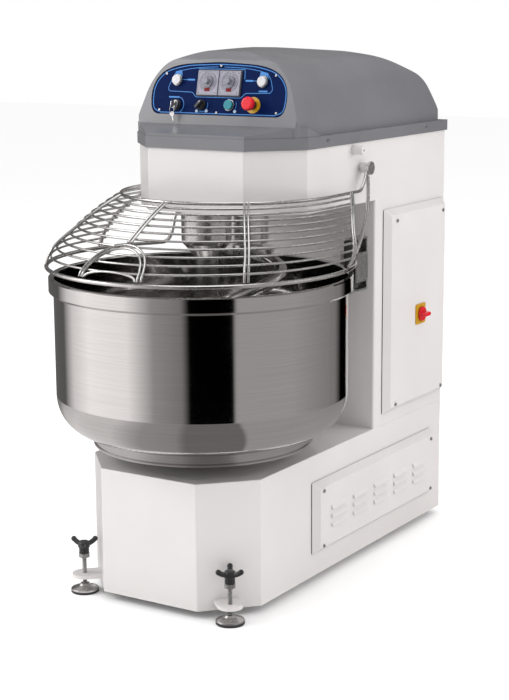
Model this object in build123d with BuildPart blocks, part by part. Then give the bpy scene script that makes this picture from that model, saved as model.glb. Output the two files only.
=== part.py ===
from build123d import *
import math
import os

os.makedirs("parts", exist_ok=True)

# Fixed-bowl spiral dough mixer. Millimetres, +X to the operator's right, +Y to the rear, +Z up.
# The origin is on the floor, under the middle of the machine's footprint.

# ---------------------------------------------------------------- driving dimensions
SHEET = 4.0  # steel sheet of the body
CORNER_ROUNDING = 7.0  # outer radius of the bends between sheets
BODY_WIDTH = 596.0
BODY_LENGTH = 1305.0  # base, front face to rear face
CORNER_X, CORNER_Y = 131.0, 139.0  # cut-off front corners of base and head
BASE_BOTTOM, BASE_TOP = 25.0, 404.0
HEAD_BOTTOM, HEAD_TOP = 1136.0, 1322.0

BOWL_SETBACK = 290.0  # base front face to the bowl's axis
HEAD_SETBACK = 264.0
COLUMN_SETBACK = 817.0
SPIRAL_SETBACK = 545.0
BREAKER_SETBACK = 360.0
PIVOT_SETBACK = 721.0
GEARMOTOR_SETBACK = 925.0
MOTOR_SETBACK = 1060.0
STOP_SETBACK = 673.0
PANEL_SETBACK = 378.4

GUARD_RADIUS, GUARD_ROD = 454.0, 12.0  # bottom ring of the bowl guard
GLAND_REACH = 24.0

BOWL_Y = (GUARD_RADIUS + GUARD_ROD / 2 - (BODY_LENGTH - BOWL_SETBACK + GLAND_REACH)) / 2
FRONT_Y = BOWL_Y - BOWL_SETBACK
REAR_Y = FRONT_Y + BODY_LENGTH
HEAD_Y = FRONT_Y + HEAD_SETBACK
COLUMN_Y = FRONT_Y + COLUMN_SETBACK
SPIRAL_Y = FRONT_Y + SPIRAL_SETBACK
COLUMN_MID_Y = (COLUMN_Y + REAR_Y) / 2
SIDE_X = BODY_WIDTH / 2

BOWL_RADIUS, BOWL_WALL = 436.0, 4.0
BOWL_FLOOR, BOWL_RIM = 485.0, 957.0
COLLAR_RADIUS, COLLAR_HEIGHT = 450.0, 48.0
BOWL_CORNER = 120.0

TURN_RADIUS, TURN_BOTTOM = 325.0, 452.0

PIVOT = (FRONT_Y + PIVOT_SETBACK, 1245.0)
STOP = (FRONT_Y + STOP_SETBACK, 1302.0)

PANEL_TILT = 12.5
PANEL_Z = 1413.0  # lower edge of the control panel
PANEL_PLANE = Plane(
    origin=(0, FRONT_Y + PANEL_SETBACK, PANEL_Z),
    x_dir=(1, 0, 0),
    z_dir=(0, -math.cos(math.radians(PANEL_TILT)), math.sin(math.radians(PANEL_TILT))),
)

RUNNING = 0.05  # radial clearance of a shaft in its bearing


# ---------------------------------------------------------------- helpers
def back(depth):
    """Y of a point that lies this far behind the base's front face."""
    return FRONT_Y + depth


def node(label, pieces):
    """A sub-part made of pieces that meet but stay separate solids."""
    solids = []
    for piece in pieces:
        solids.extend(piece.solids())
    return Compound(label=label, children=solids)


def save(part, label):
    part.label = label
    export_step(part, "parts/" + label + ".step")


def plan_corners(front, rear, half, inset):
    """Corners of a box plan with cut-off front corners, drawn in by inset."""
    length = math.hypot(CORNER_X, CORNER_Y)
    nx = CORNER_Y / length
    ny = -CORNER_X / length
    reach = nx * (half - CORNER_X) + ny * front - inset
    front_in = front + inset
    half_in = half - inset
    front_x = (reach - ny * front_in) / nx
    side_y = (reach - nx * half_in) / ny
    right = [(front_x, front_in), (half_in, side_y), (half_in, rear - inset)]
    left = [(-x, y) for x, y in reversed(right)]
    return right + left


def box_corners(front, rear, half, inset):
    right = [(half - inset, front + inset), (half - inset, rear - inset)]
    left = [(-x, y) for x, y in reversed(right)]
    return right + left


def slab(corners, bottom, top):
    with BuildPart() as piece:
        with BuildSketch(Plane.XY.offset(bottom)):
            with BuildLine():
                Polyline(*corners, close=True)
            make_face()
        extrude(amount=top - bottom)
    return piece.part


def rounded_slab(corners, bottom, top, rounding):
    with BuildPart() as piece:
        with BuildSketch(Plane.XY.offset(bottom)):
            with BuildLine():
                Polyline(*corners, close=True)
            make_face()
            fillet(vertices(), rounding)
        extrude(amount=top - bottom)
    return piece.part


def walls(outer, inner, bottom, top):
    """One mitred sheet for each side of the plan, with the outer corners rounded."""
    pieces = []
    outside = rounded_slab(outer, bottom, top, CORNER_ROUNDING)
    for i in range(len(outer)):
        j = (i + 1) % len(outer)
        pieces.append(slab([outer[i], outer[j], inner[j], inner[i]], bottom, top) & outside)
    return pieces


def block(x_mid, x_size, y_low, y_high, z_low, z_high):
    with BuildPart(Plane((x_mid, (y_low + y_high) / 2, z_low))) as piece:
        Box(x_size, y_high - y_low, z_high - z_low, align=(Align.CENTER, Align.CENTER, Align.MIN))
    return piece.part


def turned(x, y, profile):
    """Solid of revolution about the vertical through (x, y); profile is (radius, z) corners."""
    with BuildPart() as piece:
        with BuildSketch(Plane((x, y, 0), x_dir=(1, 0, 0), z_dir=(0, -1, 0))):
            with BuildLine():
                Polyline(*profile, close=True)
            make_face()
        revolve(axis=Axis((x, y, 0), (0, 0, 1)))
    return piece.part


def tube(x, y, outer, inner, bottom, top):
    return turned(x, y, [(inner, bottom), (outer, bottom), (outer, top), (inner, top)])


def disc(x, y, radius, bottom, top):
    return turned(x, y, [(0, bottom), (radius, bottom), (radius, top), (0, top)])


def straight_rod(start, end, radius):
    direction = Vector(*end) - Vector(*start)
    with BuildPart() as piece:
        with BuildSketch(Plane(origin=start, z_dir=direction)):
            Circle(radius)
        extrude(amount=direction.length)
    return piece.part


def curved_rod(points, radius):
    with BuildPart() as piece:
        with BuildLine() as path:
            Spline(*points)
        with BuildSketch(Plane(origin=path.line @ 0, z_dir=path.line % 0)):
            Circle(radius)
        sweep()
    return piece.part


def arc_rod(centre_y, z, ring_radius, start, stop, pieces, radius):
    """Rod bent about the vertical through (0, centre_y); angles run from the front to the right."""
    rods = []
    step = (stop - start) / pieces
    for i in range(pieces):
        angle = math.radians(start + i * step)
        across = Plane(
            origin=(0, centre_y, z),
            x_dir=(math.sin(angle), -math.cos(angle), 0),
            z_dir=(-math.cos(angle), -math.sin(angle), 0),
        )
        with BuildPart() as piece:
            with BuildSketch(across):
                with Locations((ring_radius, 0)):
                    Circle(radius)
            revolve(axis=Axis((0, centre_y, z), (0, 0, 1)), revolution_arc=step)
        rods.append(piece.part)
    return rods


def mirrored(piece):
    return mirror(piece, about=Plane.YZ)


def cross_pin(x_from, x_to, y, z, radius):
    return straight_rod((x_from, y, z), (x_to, y, z), radius)


# ---------------------------------------------------------------- base
VENT_ROWS = (170.0, 198.0, 225.0)
VENT_FIRST, VENT_PITCH, VENT_COLUMNS, VENT_WIDTH = 553.0, 136.0, 5, 92.0

base_outer = plan_corners(FRONT_Y, REAR_Y, SIDE_X, 0)
base_inner = plan_corners(FRONT_Y, REAR_Y, SIDE_X, SHEET)
base_sheets = walls(base_outer, base_inner, BASE_BOTTOM, BASE_TOP - SHEET)
with BuildPart() as vent_slots:
    for column in range(VENT_COLUMNS):
        for row in VENT_ROWS:
            with Locations((0, back(VENT_FIRST + column * VENT_PITCH), row + 8)):
                Box(BODY_WIDTH + 10, VENT_WIDTH - 10, 10)
base_sheets[1] = base_sheets[1] - vent_slots.part
base_sheets[3] = base_sheets[3] - vent_slots.part

with BuildPart() as base_deck:
    with BuildSketch(Plane.XY.offset(BASE_TOP - SHEET)):
        with BuildLine():
            Polyline(*base_outer, close=True)
        make_face()
        fillet(vertices(), CORNER_ROUNDING)
        with Locations((0, BOWL_Y)):
            Circle(90, mode=Mode.SUBTRACT)
        with Locations((0, back(GEARMOTOR_SETBACK))):
            Circle(92, mode=Mode.SUBTRACT)
        with Locations((0, back(1180))):
            SlotOverall(180, 60, mode=Mode.SUBTRACT)
    extrude(amount=SHEET)
    deck_rim = base_deck.faces().sort_by(Axis.Z)[-1].outer_wire().edges()
    fillet(deck_rim, 2.5)

# front cross member, and the rear one that carries the wheels
members = []
for near, far in ((300.0, 400.0), (1120.0, 1240.0)):
    members.append(block(0, 2 * (SIDE_X - SHEET), back(near), back(far), 104, 110))
    for side in (-1, 1):
        members.append(block(side * (SIDE_X - SHEET - 3), 6, back(near), back(far), 110, 150))

WHEEL_RADIUS, WHEEL_WIDTH, WHEEL_X, WHEEL_SETBACK = 38.0, 28.0, 215.0, 1180.0
AXLE = 6.0
with BuildPart() as wheel_cheek:
    with BuildSketch(Plane(origin=(0, back(WHEEL_SETBACK), 0), x_dir=(0, 1, 0), z_dir=(1, 0, 0))):
        with BuildLine():
            Polyline((-30, 104), (30, 104), (11, 29), (-11, 29), close=True)
        make_face()
        with Locations((0, WHEEL_RADIUS)):
            Circle(AXLE, mode=Mode.SUBTRACT)
    extrude(amount=2, both=True)
for side in (-1, 1):
    for cheek in (-1, 1):
        members.append(Pos(side * WHEEL_X + cheek * 19, 0, 0) * wheel_cheek.part)

# half-round lugs and nuts of the jack feet
FOOT_X, FOOT_SETBACK, FOOT_SCREW = 261.4, 28.8, 6.5
FOOT_LUG_BOTTOM, FOOT_LUG_TOP, FOOT_LUG_RADIUS = 48.0, 58.0, 37.0
CORNER_ANGLE = math.degrees(math.atan2(CORNER_X, CORNER_Y))
with BuildPart() as foot_lug:
    with BuildSketch(Plane((FOOT_X, back(FOOT_SETBACK), FOOT_LUG_BOTTOM)).rotated((0, 0, -CORNER_ANGLE))):
        Circle(FOOT_LUG_RADIUS)
        with Locations((-40, 0)):
            Rectangle(80, 2 * FOOT_LUG_RADIUS)
        Circle(FOOT_SCREW + 0.1, mode=Mode.SUBTRACT)
    extrude(amount=FOOT_LUG_TOP - FOOT_LUG_BOTTOM)
base_block = slab(base_outer, 0, 100)
foot_lug_trimmed = foot_lug.part - base_block
with BuildPart() as foot_nut:
    with BuildSketch(Plane((FOOT_X, back(FOOT_SETBACK), 39))):
        RegularPolygon(12, 6)
        Circle(FOOT_SCREW + 0.1, mode=Mode.SUBTRACT)
    extrude(amount=FOOT_LUG_BOTTOM - 39)
axles = [
    cross_pin(side * WHEEL_X - 27, side * WHEEL_X + 27, back(WHEEL_SETBACK), WHEEL_RADIUS, AXLE)
    for side in (-1, 1)
]
lugs = [foot_lug_trimmed, foot_nut.part, mirrored(foot_lug_trimmed), mirrored(foot_nut.part)]

base_housing = node("base_housing", base_sheets + [base_deck.part] + members + axles + lugs)
save(base_housing, "base_housing")

# ---------------------------------------------------------------- column
column_outer = box_corners(COLUMN_Y, REAR_Y, SIDE_X, 0)
column_inner = box_corners(COLUMN_Y, REAR_Y, SIDE_X, SHEET)
column_sheets = walls(column_outer, column_inner, BASE_TOP, HEAD_BOTTOM)
with BuildPart() as column_windows:
    with Locations((0, back(1076), 950), (0, back(1076), 738)):
        Box(BODY_WIDTH + 10, 300, 150)
for side in (0, 2):
    column_sheets[side] = column_sheets[side] - column_windows.part
save(node("column_housing", column_sheets), "column_housing")

# ---------------------------------------------------------------- head
head_outer = plan_corners(HEAD_Y, REAR_Y, SIDE_X, 0)
head_inner = plan_corners(HEAD_Y, REAR_Y, SIDE_X, SHEET)
head_sheets = walls(head_outer, head_inner, HEAD_BOTTOM, HEAD_TOP)
floor_corners = [head_inner[0], head_inner[1], (SIDE_X - SHEET, back(940))]
floor_corners = floor_corners + [(-x, y) for x, y in reversed(floor_corners)]
with BuildPart() as head_floor:
    with BuildSketch(Plane.XY.offset(HEAD_BOTTOM)):
        with BuildLine():
            Polyline(*floor_corners, close=True)
        make_face()
        with Locations((0, back(SPIRAL_SETBACK))):
            Circle(65.5, mode=Mode.SUBTRACT)
        with Locations((-27, back(BREAKER_SETBACK))):
            Circle(18.2, mode=Mode.SUBTRACT)
        with Locations((200, back(870))):
            Circle(40, mode=Mode.SUBTRACT)
    extrude(amount=6)
with BuildPart() as pivot_holes:
    for y, z, radius in ((PIVOT[0], PIVOT[1], 8.0), (STOP[0], STOP[1], 5.2)):
        with BuildSketch(Plane(origin=(-SIDE_X - 5, y, z), z_dir=(1, 0, 0))):
            Circle(radius)
        extrude(amount=BODY_WIDTH + 10)
for side in (1, 3):
    head_sheets[side] = head_sheets[side] - pivot_holes.part

# shelf under the spiral motor's pulley, on two angles
with BuildPart() as motor_shelf:
    with BuildSketch(Plane((0, back(MOTOR_SETBACK), 1150))):
        Rectangle(2 * (SIDE_X - SHEET), 250)
        Circle(24, mode=Mode.SUBTRACT)
    extrude(amount=10)
shelf_angles = []
for side in (-1, 1):
    near, far = back(MOTOR_SETBACK - 125), back(MOTOR_SETBACK + 125)
    shelf_angles.append(block(side * (SIDE_X - SHEET - 3), 6, near, far, 1112, 1150))
head_pieces = head_sheets + [head_floor.part, motor_shelf.part] + shelf_angles
save(node("head_housing", head_pieces), "head_housing")

# ---------------------------------------------------------------- hood
SKIRT_PROUD = 5.0
SKIRT_TOP = 1356.0
COVER_WALL = 4.0
LEDGE_BACK = 372.0
# half section of the hood: width, height and bend radius of each corner
HOOD_SIDE = ((286, 1336, 0), (285, 1390, 200), (246, 1506, 180), (196, 1565, 110), (100, 1593, 600))
HOOD_CROWN = (0, 1612, 300)
# top of the hood seen from the side: depth, height and bend radius of each corner
HOOD_TOP_LINE = ((620, 1607, 900), (1010, 1583, 700), (1235, 1497, 110), (1300, 1336, 0))
HOOD_BROW, HOOD_BROW_RADIUS = 1597.0, 45.0


def skirt_plan(inset):
    return plan_corners(HEAD_Y - SKIRT_PROUD, REAR_Y + SKIRT_PROUD, SIDE_X + SKIRT_PROUD, inset)


def hood_front_y(z):
    return back(PANEL_SETBACK) - 3.0 + (z - PANEL_Z) * math.tan(math.radians(PANEL_TILT))


def drawn_in(corners, inset):
    """Corners of a convex outline whose edges are all moved inwards by inset."""
    turning = 0.0
    for i in range(len(corners)):
        turning += corners[i - 1][0] * corners[i][1] - corners[i][0] * corners[i - 1][1]
    shift = math.copysign(inset, turning)
    edges = []
    for i in range(len(corners)):
        x, z = corners[i - 1][0], corners[i - 1][1]
        dx = corners[i][0] - x
        dz = corners[i][1] - z
        length = math.hypot(dx, dz)
        edges.append((x - shift * dz / length, z + shift * dx / length, dx / length, dz / length))
    moved = []
    for i in range(len(corners)):
        x1, z1, dx1, dz1 = edges[i]
        x2, z2, dx2, dz2 = edges[(i + 1) % len(corners)]
        along = ((x2 - x1) * dz2 - (z2 - z1) * dx2) / (dx1 * dz2 - dz1 * dx2)
        moved.append((x1 + along * dx1, z1 + along * dz1, max(corners[i][2] - inset, 0)))
    return moved


def bent_outline(corners):
    """Face through the corners, each bent to its own radius."""
    with BuildSketch(Plane.XY) as outline:
        with BuildLine():
            Polyline(*[(x, z) for x, z, radius in corners], close=True)
        make_face()
        for x, z, radius in corners:
            if radius > 0:
                fillet(outline.vertices().sort_by_distance((x, z, 0))[0], radius)
    return outline.sketch_local.faces()[0]


def hood_form(inset):
    """Outer form of the hood above its skirt, drawn in by inset on every side."""
    section = list(HOOD_SIDE) + [HOOD_CROWN] + [(-x, z, radius) for x, z, radius in reversed(HOOD_SIDE)]
    foot = (hood_front_y(1336), 1336, 0)
    brow = (hood_front_y(HOOD_BROW), HOOD_BROW, HOOD_BROW_RADIUS)
    profile = [foot, brow] + [(back(depth), z, radius) for depth, z, radius in HOOD_TOP_LINE]
    front = hood_front_y(1336) + inset
    with BuildPart() as form:
        with BuildSketch(Plane.XZ.offset(-back(330))):
            add(bent_outline(drawn_in(section, inset)))
        extrude(amount=-(BODY_LENGTH + SKIRT_PROUD - 330 - inset))
        with BuildSketch(Plane.YZ):
            add(bent_outline(drawn_in(profile, inset)))
        extrude(amount=SIDE_X + 20, both=True, mode=Mode.INTERSECT)
        with BuildSketch(Plane.XY.offset(1330)):
            with Locations((0, (front + back(1299) - inset) / 2)):
                RectangleRounded(2 * (290 - inset), back(1299) - inset - front, 46 - inset)
        extrude(amount=300, mode=Mode.INTERSECT)
    return form.part


def ledge_form(inset):
    """Sloping front ledge between the skirt and the panel frame."""
    with BuildPart() as form:
        with BuildSketch(Plane.XY.offset(1340)):
            with BuildLine():
                Polyline(*skirt_plan(inset + 3), close=True)
            make_face()
        extrude(amount=60)
        with BuildSketch(Plane.YZ):
            with BuildLine():
                Polyline(
                    (back(200), 1340),
                    (back(200), SKIRT_TOP - inset - 4),
                    (back(LEDGE_BACK), SKIRT_TOP + 30 - inset),
                    (back(LEDGE_BACK + 30), SKIRT_TOP + 30 - inset),
                    (back(LEDGE_BACK + 110), SKIRT_TOP - inset),
                    (back(LEDGE_BACK + 110), 1340),
                    close=True,
                )
            make_face()
        extrude(amount=SIDE_X + 20, both=True, mode=Mode.INTERSECT)
    return form.part


with BuildPart() as top_cover:
    with BuildSketch(Plane.XY.offset(HEAD_TOP)):
        with BuildLine():
            Polyline(*skirt_plan(0), close=True)
        make_face()
    extrude(amount=SKIRT_TOP - HEAD_TOP)
    for side in (-1, 1):
        for depth in (510.0, 1150.0):
            with BuildSketch(Plane(origin=(side * 292, back(depth), 1343), z_dir=(side, 0, 0))):
                Circle(2.6)
            extrude(amount=20, mode=Mode.SUBTRACT)
    add(ledge_form(0))
    add(hood_form(0))
    with BuildSketch(Plane.XY.offset(HEAD_TOP)):
        with BuildLine():
            Polyline(*skirt_plan(SKIRT_PROUD + SHEET), close=True)
        make_face()
    extrude(amount=SKIRT_TOP - HEAD_TOP - COVER_WALL, mode=Mode.SUBTRACT)
    add(ledge_form(COVER_WALL + 6), mode=Mode.SUBTRACT)
    add(hood_form(COVER_WALL), mode=Mode.SUBTRACT)

# ---------------------------------------------------------------- side panels
PAN_RISE = 20.0
PAN_SLOPE = 19.0
GASKET = 3.0
UPPER_PAN = (868.0, 1285.0, 440.0, 1100.0)
VENT_PAN = (424.0, 1217.0, 95.0, 322.0)
UPPER_SCREWS = ((922, 1062), (1250, 1062), (922, 458 + 8), (1250, 458 + 8))
VENT_SCREWS = ((462, 292), (1186, 292), (462, 119), (1186, 119))
PAN_X = SIDE_X + GASKET
FACE_X = PAN_X + PAN_RISE


def side_plane(x, depth, z):
    """Plane facing outwards on the right side; local x runs to the rear, local y runs up."""
    return Plane(origin=(x, back(depth), z), x_dir=(0, 1, 0), z_dir=(1, 0, 0))


def pan(limits, screws, thickness):
    near, far, low, high = limits
    mid = ((near + far) / 2, (low + high) / 2)
    with BuildPart() as piece:
        for inset, mode in ((0.0, Mode.ADD), (thickness, Mode.SUBTRACT)):
            with BuildSketch(side_plane(PAN_X, *mid)):
                RectangleRounded(far - near - 2 * inset, high - low - 2 * inset, 6)
            with BuildSketch(side_plane(FACE_X - inset, *mid)):
                RectangleRounded(
                    far - near - 2 * (PAN_SLOPE + inset * 0.4),
                    high - low - 2 * (PAN_SLOPE + inset * 0.4),
                    3,
                )
            loft(mode=mode)
        with BuildSketch(side_plane(FACE_X - 5, 0, 0)):
            with Locations(*screws):
                Circle(3.2)
        extrude(amount=10, mode=Mode.SUBTRACT)
    return piece.part


def louvre(depth, z):
    """Pressed hood, open along its lower edge."""
    with BuildPart() as piece:
        with BuildSketch(side_plane(FACE_X - 1.5, depth, z)):
            SlotOverall(VENT_WIDTH, 15)
            with Locations((0, -6)):
                Rectangle(VENT_WIDTH + 4, 9, mode=Mode.SUBTRACT)
        extrude(amount=1.4)
        with BuildSketch(Plane.XZ.offset(-back(depth) + VENT_WIDTH / 2)):
            with BuildLine():
                Polyline(
                    (FACE_X - 1, z + 15),
                    (FACE_X + 7, z + 1),
                    (FACE_X + 7, z - 1),
                    (FACE_X + 5.6, z - 1),
                    (FACE_X - 1, z + 11),
                    close=True,
                )
            make_face()
        extrude(amount=-VENT_WIDTH)
    return piece.part


upper_pan = pan(UPPER_PAN, UPPER_SCREWS, 2.0)
with BuildPart() as isolator_hole:
    with BuildSketch(side_plane(FACE_X - 5, 1090, 738)):
        Circle(12)
    extrude(amount=10)
save(node("access_panels", [upper_pan - isolator_hole.part, mirrored(upper_pan)]), "access_panels")

with BuildPart() as vent_pan:
    add(pan(VENT_PAN, VENT_SCREWS, 2.0))
    for column in range(VENT_COLUMNS):
        for row in VENT_ROWS:
            with BuildSketch(side_plane(FACE_X - 5, VENT_FIRST + column * VENT_PITCH, row + 4)):
                Rectangle(VENT_WIDTH - 6, 8)
            extrude(amount=10, mode=Mode.SUBTRACT)
            add(louvre(VENT_FIRST + column * VENT_PITCH, row))
save(node("vent_panels", [vent_pan.part, mirrored(vent_pan.part)]), "vent_panels")


def gasket(limits):
    near, far, low, high = limits
    with BuildPart() as piece:
        with BuildSketch(side_plane(SIDE_X, (near + far) / 2, (low + high) / 2)):
            RectangleRounded(far - near - 3, high - low - 3, 5)
            RectangleRounded(far - near - 20, high - low - 20, 3, mode=Mode.SUBTRACT)
        extrude(amount=GASKET)
    return piece.part


gaskets = [gasket(UPPER_PAN), gasket(VENT_PAN)]
gaskets = gaskets + [mirrored(piece) for piece in gaskets]
save(node("panel_gaskets", gaskets), "panel_gaskets")


def side_screw(x, depth, z, shank, head, reach):
    with BuildPart() as piece:
        with BuildSketch(side_plane(x, depth, z)):
            Circle(head)
        extrude(amount=head * 0.55)
        fillet(piece.faces().sort_by(Axis.X)[-1].edges(), head * 0.3)
        with BuildSketch(side_plane(x, depth, z)):
            Circle(shank)
        extrude(amount=-reach)
        with BuildSketch(side_plane(x + head * 0.25, depth, z)):
            RegularPolygon(head * 0.42, 6)
        extrude(amount=head, mode=Mode.SUBTRACT)
    return piece.part


panel_screws = []
for depth, z in UPPER_SCREWS + VENT_SCREWS:
    screw = side_screw(FACE_X, depth, z, 3.0, 6.0, PAN_RISE + GASKET)
    panel_screws.append(screw)
    panel_screws.append(mirrored(screw))

cover_screws = []
for depth in (510.0, 1150.0):
    screw = side_screw(SIDE_X + SKIRT_PROUD, depth, 1343, 2.5, 6.0, 4.0)
    cover_screws.append(screw)
    cover_screws.append(mirrored(screw))

# ---------------------------------------------------------------- mains isolator
with BuildPart() as isolator_plate:
    with BuildSketch(side_plane(FACE_X, 1090, 738)):
        RectangleRounded(66, 66, 5)
        Circle(10.4, mode=Mode.SUBTRACT)
    extrude(amount=4)
    with BuildSketch(side_plane(FACE_X + 4, 1090, 738)):
        Circle(30)
        Circle(26, mode=Mode.SUBTRACT)
    extrude(amount=1.5)

with BuildPart() as isolator_body:
    with BuildSketch(side_plane(258, 1090, 738)):
        RectangleRounded(58, 58, 4)
    extrude(amount=FACE_X - 2.5 - 258)
    with BuildSketch(side_plane(258, 1090, 738)):
        Circle(4.3)
    extrude(amount=FACE_X - 258, mode=Mode.SUBTRACT)

with BuildPart() as isolator_handle:
    with BuildSketch(side_plane(FACE_X + 6, 1090, 738)):
        Circle(23)
    extrude(amount=8)
    chamfer(isolator_handle.faces().sort_by(Axis.X)[-1].edges(), 1.5)
    with BuildSketch(side_plane(FACE_X + 14, 1090, 738)):
        SlotOverall(44, 15)
    extrude(amount=17, taper=4)
    fillet(isolator_handle.faces().sort_by(Axis.X)[-1].edges(), 2)
    with BuildSketch(side_plane(FACE_X + 6, 1090, 738)):
        Circle(4.2)
    extrude(amount=-50)
save(isolator_handle.part, "isolator_handle")

# ---------------------------------------------------------------- control panel
PANEL_SHEET = 3.0
TIMER_X, TIMER_S, TIMER_SIZE = 38.0, 95.0, 72.0
DIAL_S = 99.0
BUTTON_X, BUTTON_S = 150.0, 102.0
KEY_AT = (-145.0, 28.0)
SELECTOR_AT = (-56.0, 30.0)
GREEN_AT = (43.0, 31.0)
STOP_AT = (125.0, 33.0)
LAMPS_AT = ((-70.0, 11.0), (-36.0, 12.0), (64.0, 13.0))
PANEL_SCREWS_AT = ((206, 12), (-206, 12), (192, 121), (-192, 121), (0, 147), (0, 8))


def panel_plane(proud):
    return PANEL_PLANE.offset(proud)


PANEL_EDGE = ((205, 0), (229, 11), (237, 36), (236, 75), (225, 102), (207, 122), (180, 137), (122, 150))
PANEL_EDGE = PANEL_EDGE + ((62, 154), (0, 156.5))


def panel_outline(grow):
    """Outline of the control panel moved outwards by grow, drawn in the current sketch."""
    edge = [(PANEL_EDGE[0][0] + 0.2 * grow, -grow)]
    for i in range(1, len(PANEL_EDGE) - 1):
        dx = PANEL_EDGE[i + 1][0] - PANEL_EDGE[i - 1][0]
        ds = PANEL_EDGE[i + 1][1] - PANEL_EDGE[i - 1][1]
        length = math.hypot(dx, ds)
        edge.append((PANEL_EDGE[i][0] + grow * ds / length, PANEL_EDGE[i][1] - grow * dx / length))
    edge.append((0, PANEL_EDGE[-1][1] + grow))
    left_edge = [(-x, s) for x, s in reversed(edge[:-1])]
    with BuildLine() as outline:
        Spline(*edge, *left_edge)
        Line((-edge[0][0], -grow), (edge[0][0], -grow))
    make_face(outline.edges())


with BuildPart() as control_panel:
    with BuildSketch(panel_plane(-PANEL_SHEET)) as plate_outline:
        panel_outline(0)
        fillet(plate_outline.vertices(), 9)
        with Locations((TIMER_X, TIMER_S), (-TIMER_X, TIMER_S)):
            Rectangle(67, 67, mode=Mode.SUBTRACT)
        with Locations((BUTTON_X, BUTTON_S), (-BUTTON_X, BUTTON_S), KEY_AT, SELECTOR_AT, GREEN_AT, STOP_AT):
            Circle(11.2, mode=Mode.SUBTRACT)
        with Locations(*LAMPS_AT):
            Circle(4.2, mode=Mode.SUBTRACT)
        with Locations(*PANEL_SCREWS_AT):
            Circle(2.2, mode=Mode.SUBTRACT)
    extrude(amount=PANEL_SHEET)
save(control_panel.part, "control_panel")

# the hood's window, and the raised rim that carries the panel in a rebate
with BuildPart() as panel_rim:
    with BuildSketch(panel_plane(-PANEL_SHEET - 4)):
        panel_outline(11)
    extrude(amount=PANEL_SHEET + 6)
    with BuildSketch(panel_plane(-PANEL_SHEET - 10)):
        panel_outline(-13)
    extrude(amount=30, mode=Mode.SUBTRACT)
    with BuildSketch(panel_plane(-PANEL_SHEET)):
        panel_outline(0.6)
    extrude(amount=30, mode=Mode.SUBTRACT)
    with BuildSketch(panel_plane(-PANEL_SHEET - 8)):
        with Locations(*PANEL_SCREWS_AT):
            Circle(2.2)
    extrude(amount=9, mode=Mode.SUBTRACT)

with BuildPart() as hood_with_window:
    add(top_cover.part)
    with BuildSketch(panel_plane(-PANEL_SHEET - 10)):
        panel_outline(-13)
    extrude(amount=30, mode=Mode.SUBTRACT)
    with BuildSketch(panel_plane(-PANEL_SHEET)):
        panel_outline(0.6)
    extrude(amount=30, mode=Mode.SUBTRACT)
    add(panel_rim.part)
save(hood_with_window.part, "top_cover")

panel_screws_front = []
for x, s in PANEL_SCREWS_AT:
    with BuildPart() as panel_screw:
        with BuildSketch(panel_plane(0)):
            with Locations((x, s)):
                Circle(4)
        extrude(amount=2.2)
        fillet(panel_screw.faces().sort_by(Axis.Y)[0].edges(), 1.2)
        with BuildSketch(panel_plane(-7)):
            with Locations((x, s)):
                Circle(2)
        extrude(amount=7)
        with BuildSketch(panel_plane(1.2)):
            with Locations((x, s)):
                Rectangle(5, 0.9)
                Rectangle(0.9, 5)
        extrude(amount=3, mode=Mode.SUBTRACT)
    panel_screws_front.append(panel_screw.part)
save(node("body_screws", panel_screws + cover_screws + panel_screws_front), "body_screws")


def timer(x):
    with BuildPart() as piece:
        with BuildSketch(panel_plane(0)):
            with Locations((x, TIMER_S)):
                RectangleRounded(TIMER_SIZE, TIMER_SIZE, 2)
        extrude(amount=7)
        with BuildSketch(panel_plane(-60)):
            with Locations((x, TIMER_S)):
                Rectangle(66, 66)
        extrude(amount=60)
        with BuildSketch(panel_plane(5.5)):
            with Locations((x, TIMER_S)):
                Rectangle(67, 67)
        extrude(amount=5, mode=Mode.SUBTRACT)
        with BuildSketch(panel_plane(-20)):
            with Locations((x, DIAL_S)):
                Circle(3.1)
        extrude(amount=40, mode=Mode.SUBTRACT)
    return piece.part


save(node("timers", [timer(-TIMER_X), timer(TIMER_X)]), "timers")

timer_faces = []
timer_windows = []
for x in (-TIMER_X, TIMER_X):
    with BuildPart() as timer_face:
        with BuildSketch(panel_plane(5.5)):
            with Locations((x, TIMER_S)):
                Rectangle(66, 66)
            with Locations((x, DIAL_S)):
                Circle(4, mode=Mode.SUBTRACT)
        extrude(amount=1)
        with BuildSketch(panel_plane(6.5)):
            with Locations((x, DIAL_S)):
                Circle(28)
                Circle(26, mode=Mode.SUBTRACT)
        extrude(amount=0.8)
        with BuildSketch(panel_plane(5)):
            with Locations((x, 75)):
                Rectangle(19, 10.5)
        extrude(amount=4, mode=Mode.SUBTRACT)
    timer_faces.append(timer_face.part)
    with BuildPart() as timer_window:
        with BuildSketch(panel_plane(5.5)):
            with Locations((x, 75)):
                Rectangle(18.8, 10.3)
        extrude(amount=1.6)
    timer_windows.append(timer_window.part)
save(node("timer_faces", timer_faces), "timer_faces")
save(node("timer_windows", timer_windows), "timer_windows")


def timer_knob(x):
    with BuildPart() as piece:
        with BuildSketch(panel_plane(7.8)):
            with Locations((x, DIAL_S)):
                Circle(18)
        extrude(amount=3)
        with BuildSketch(panel_plane(10.8)):
            with Locations((x, DIAL_S)):
                Circle(9.5)
        extrude(amount=12, taper=3)
        fillet(piece.faces().sort_by(Axis.Y)[0].edges(), 1)
        with BuildSketch(panel_plane(10.8)):
            with Locations((x, DIAL_S + 12)):
                Rectangle(2.4, 8)
        extrude(amount=1)
        with BuildSketch(panel_plane(7.8)):
            with Locations((x, DIAL_S)):
                Circle(3)
        extrude(amount=-24)
    return piece.part


save(timer_knob(-TIMER_X), "timer_knob_left")
save(timer_knob(TIMER_X), "timer_knob_right")


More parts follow.
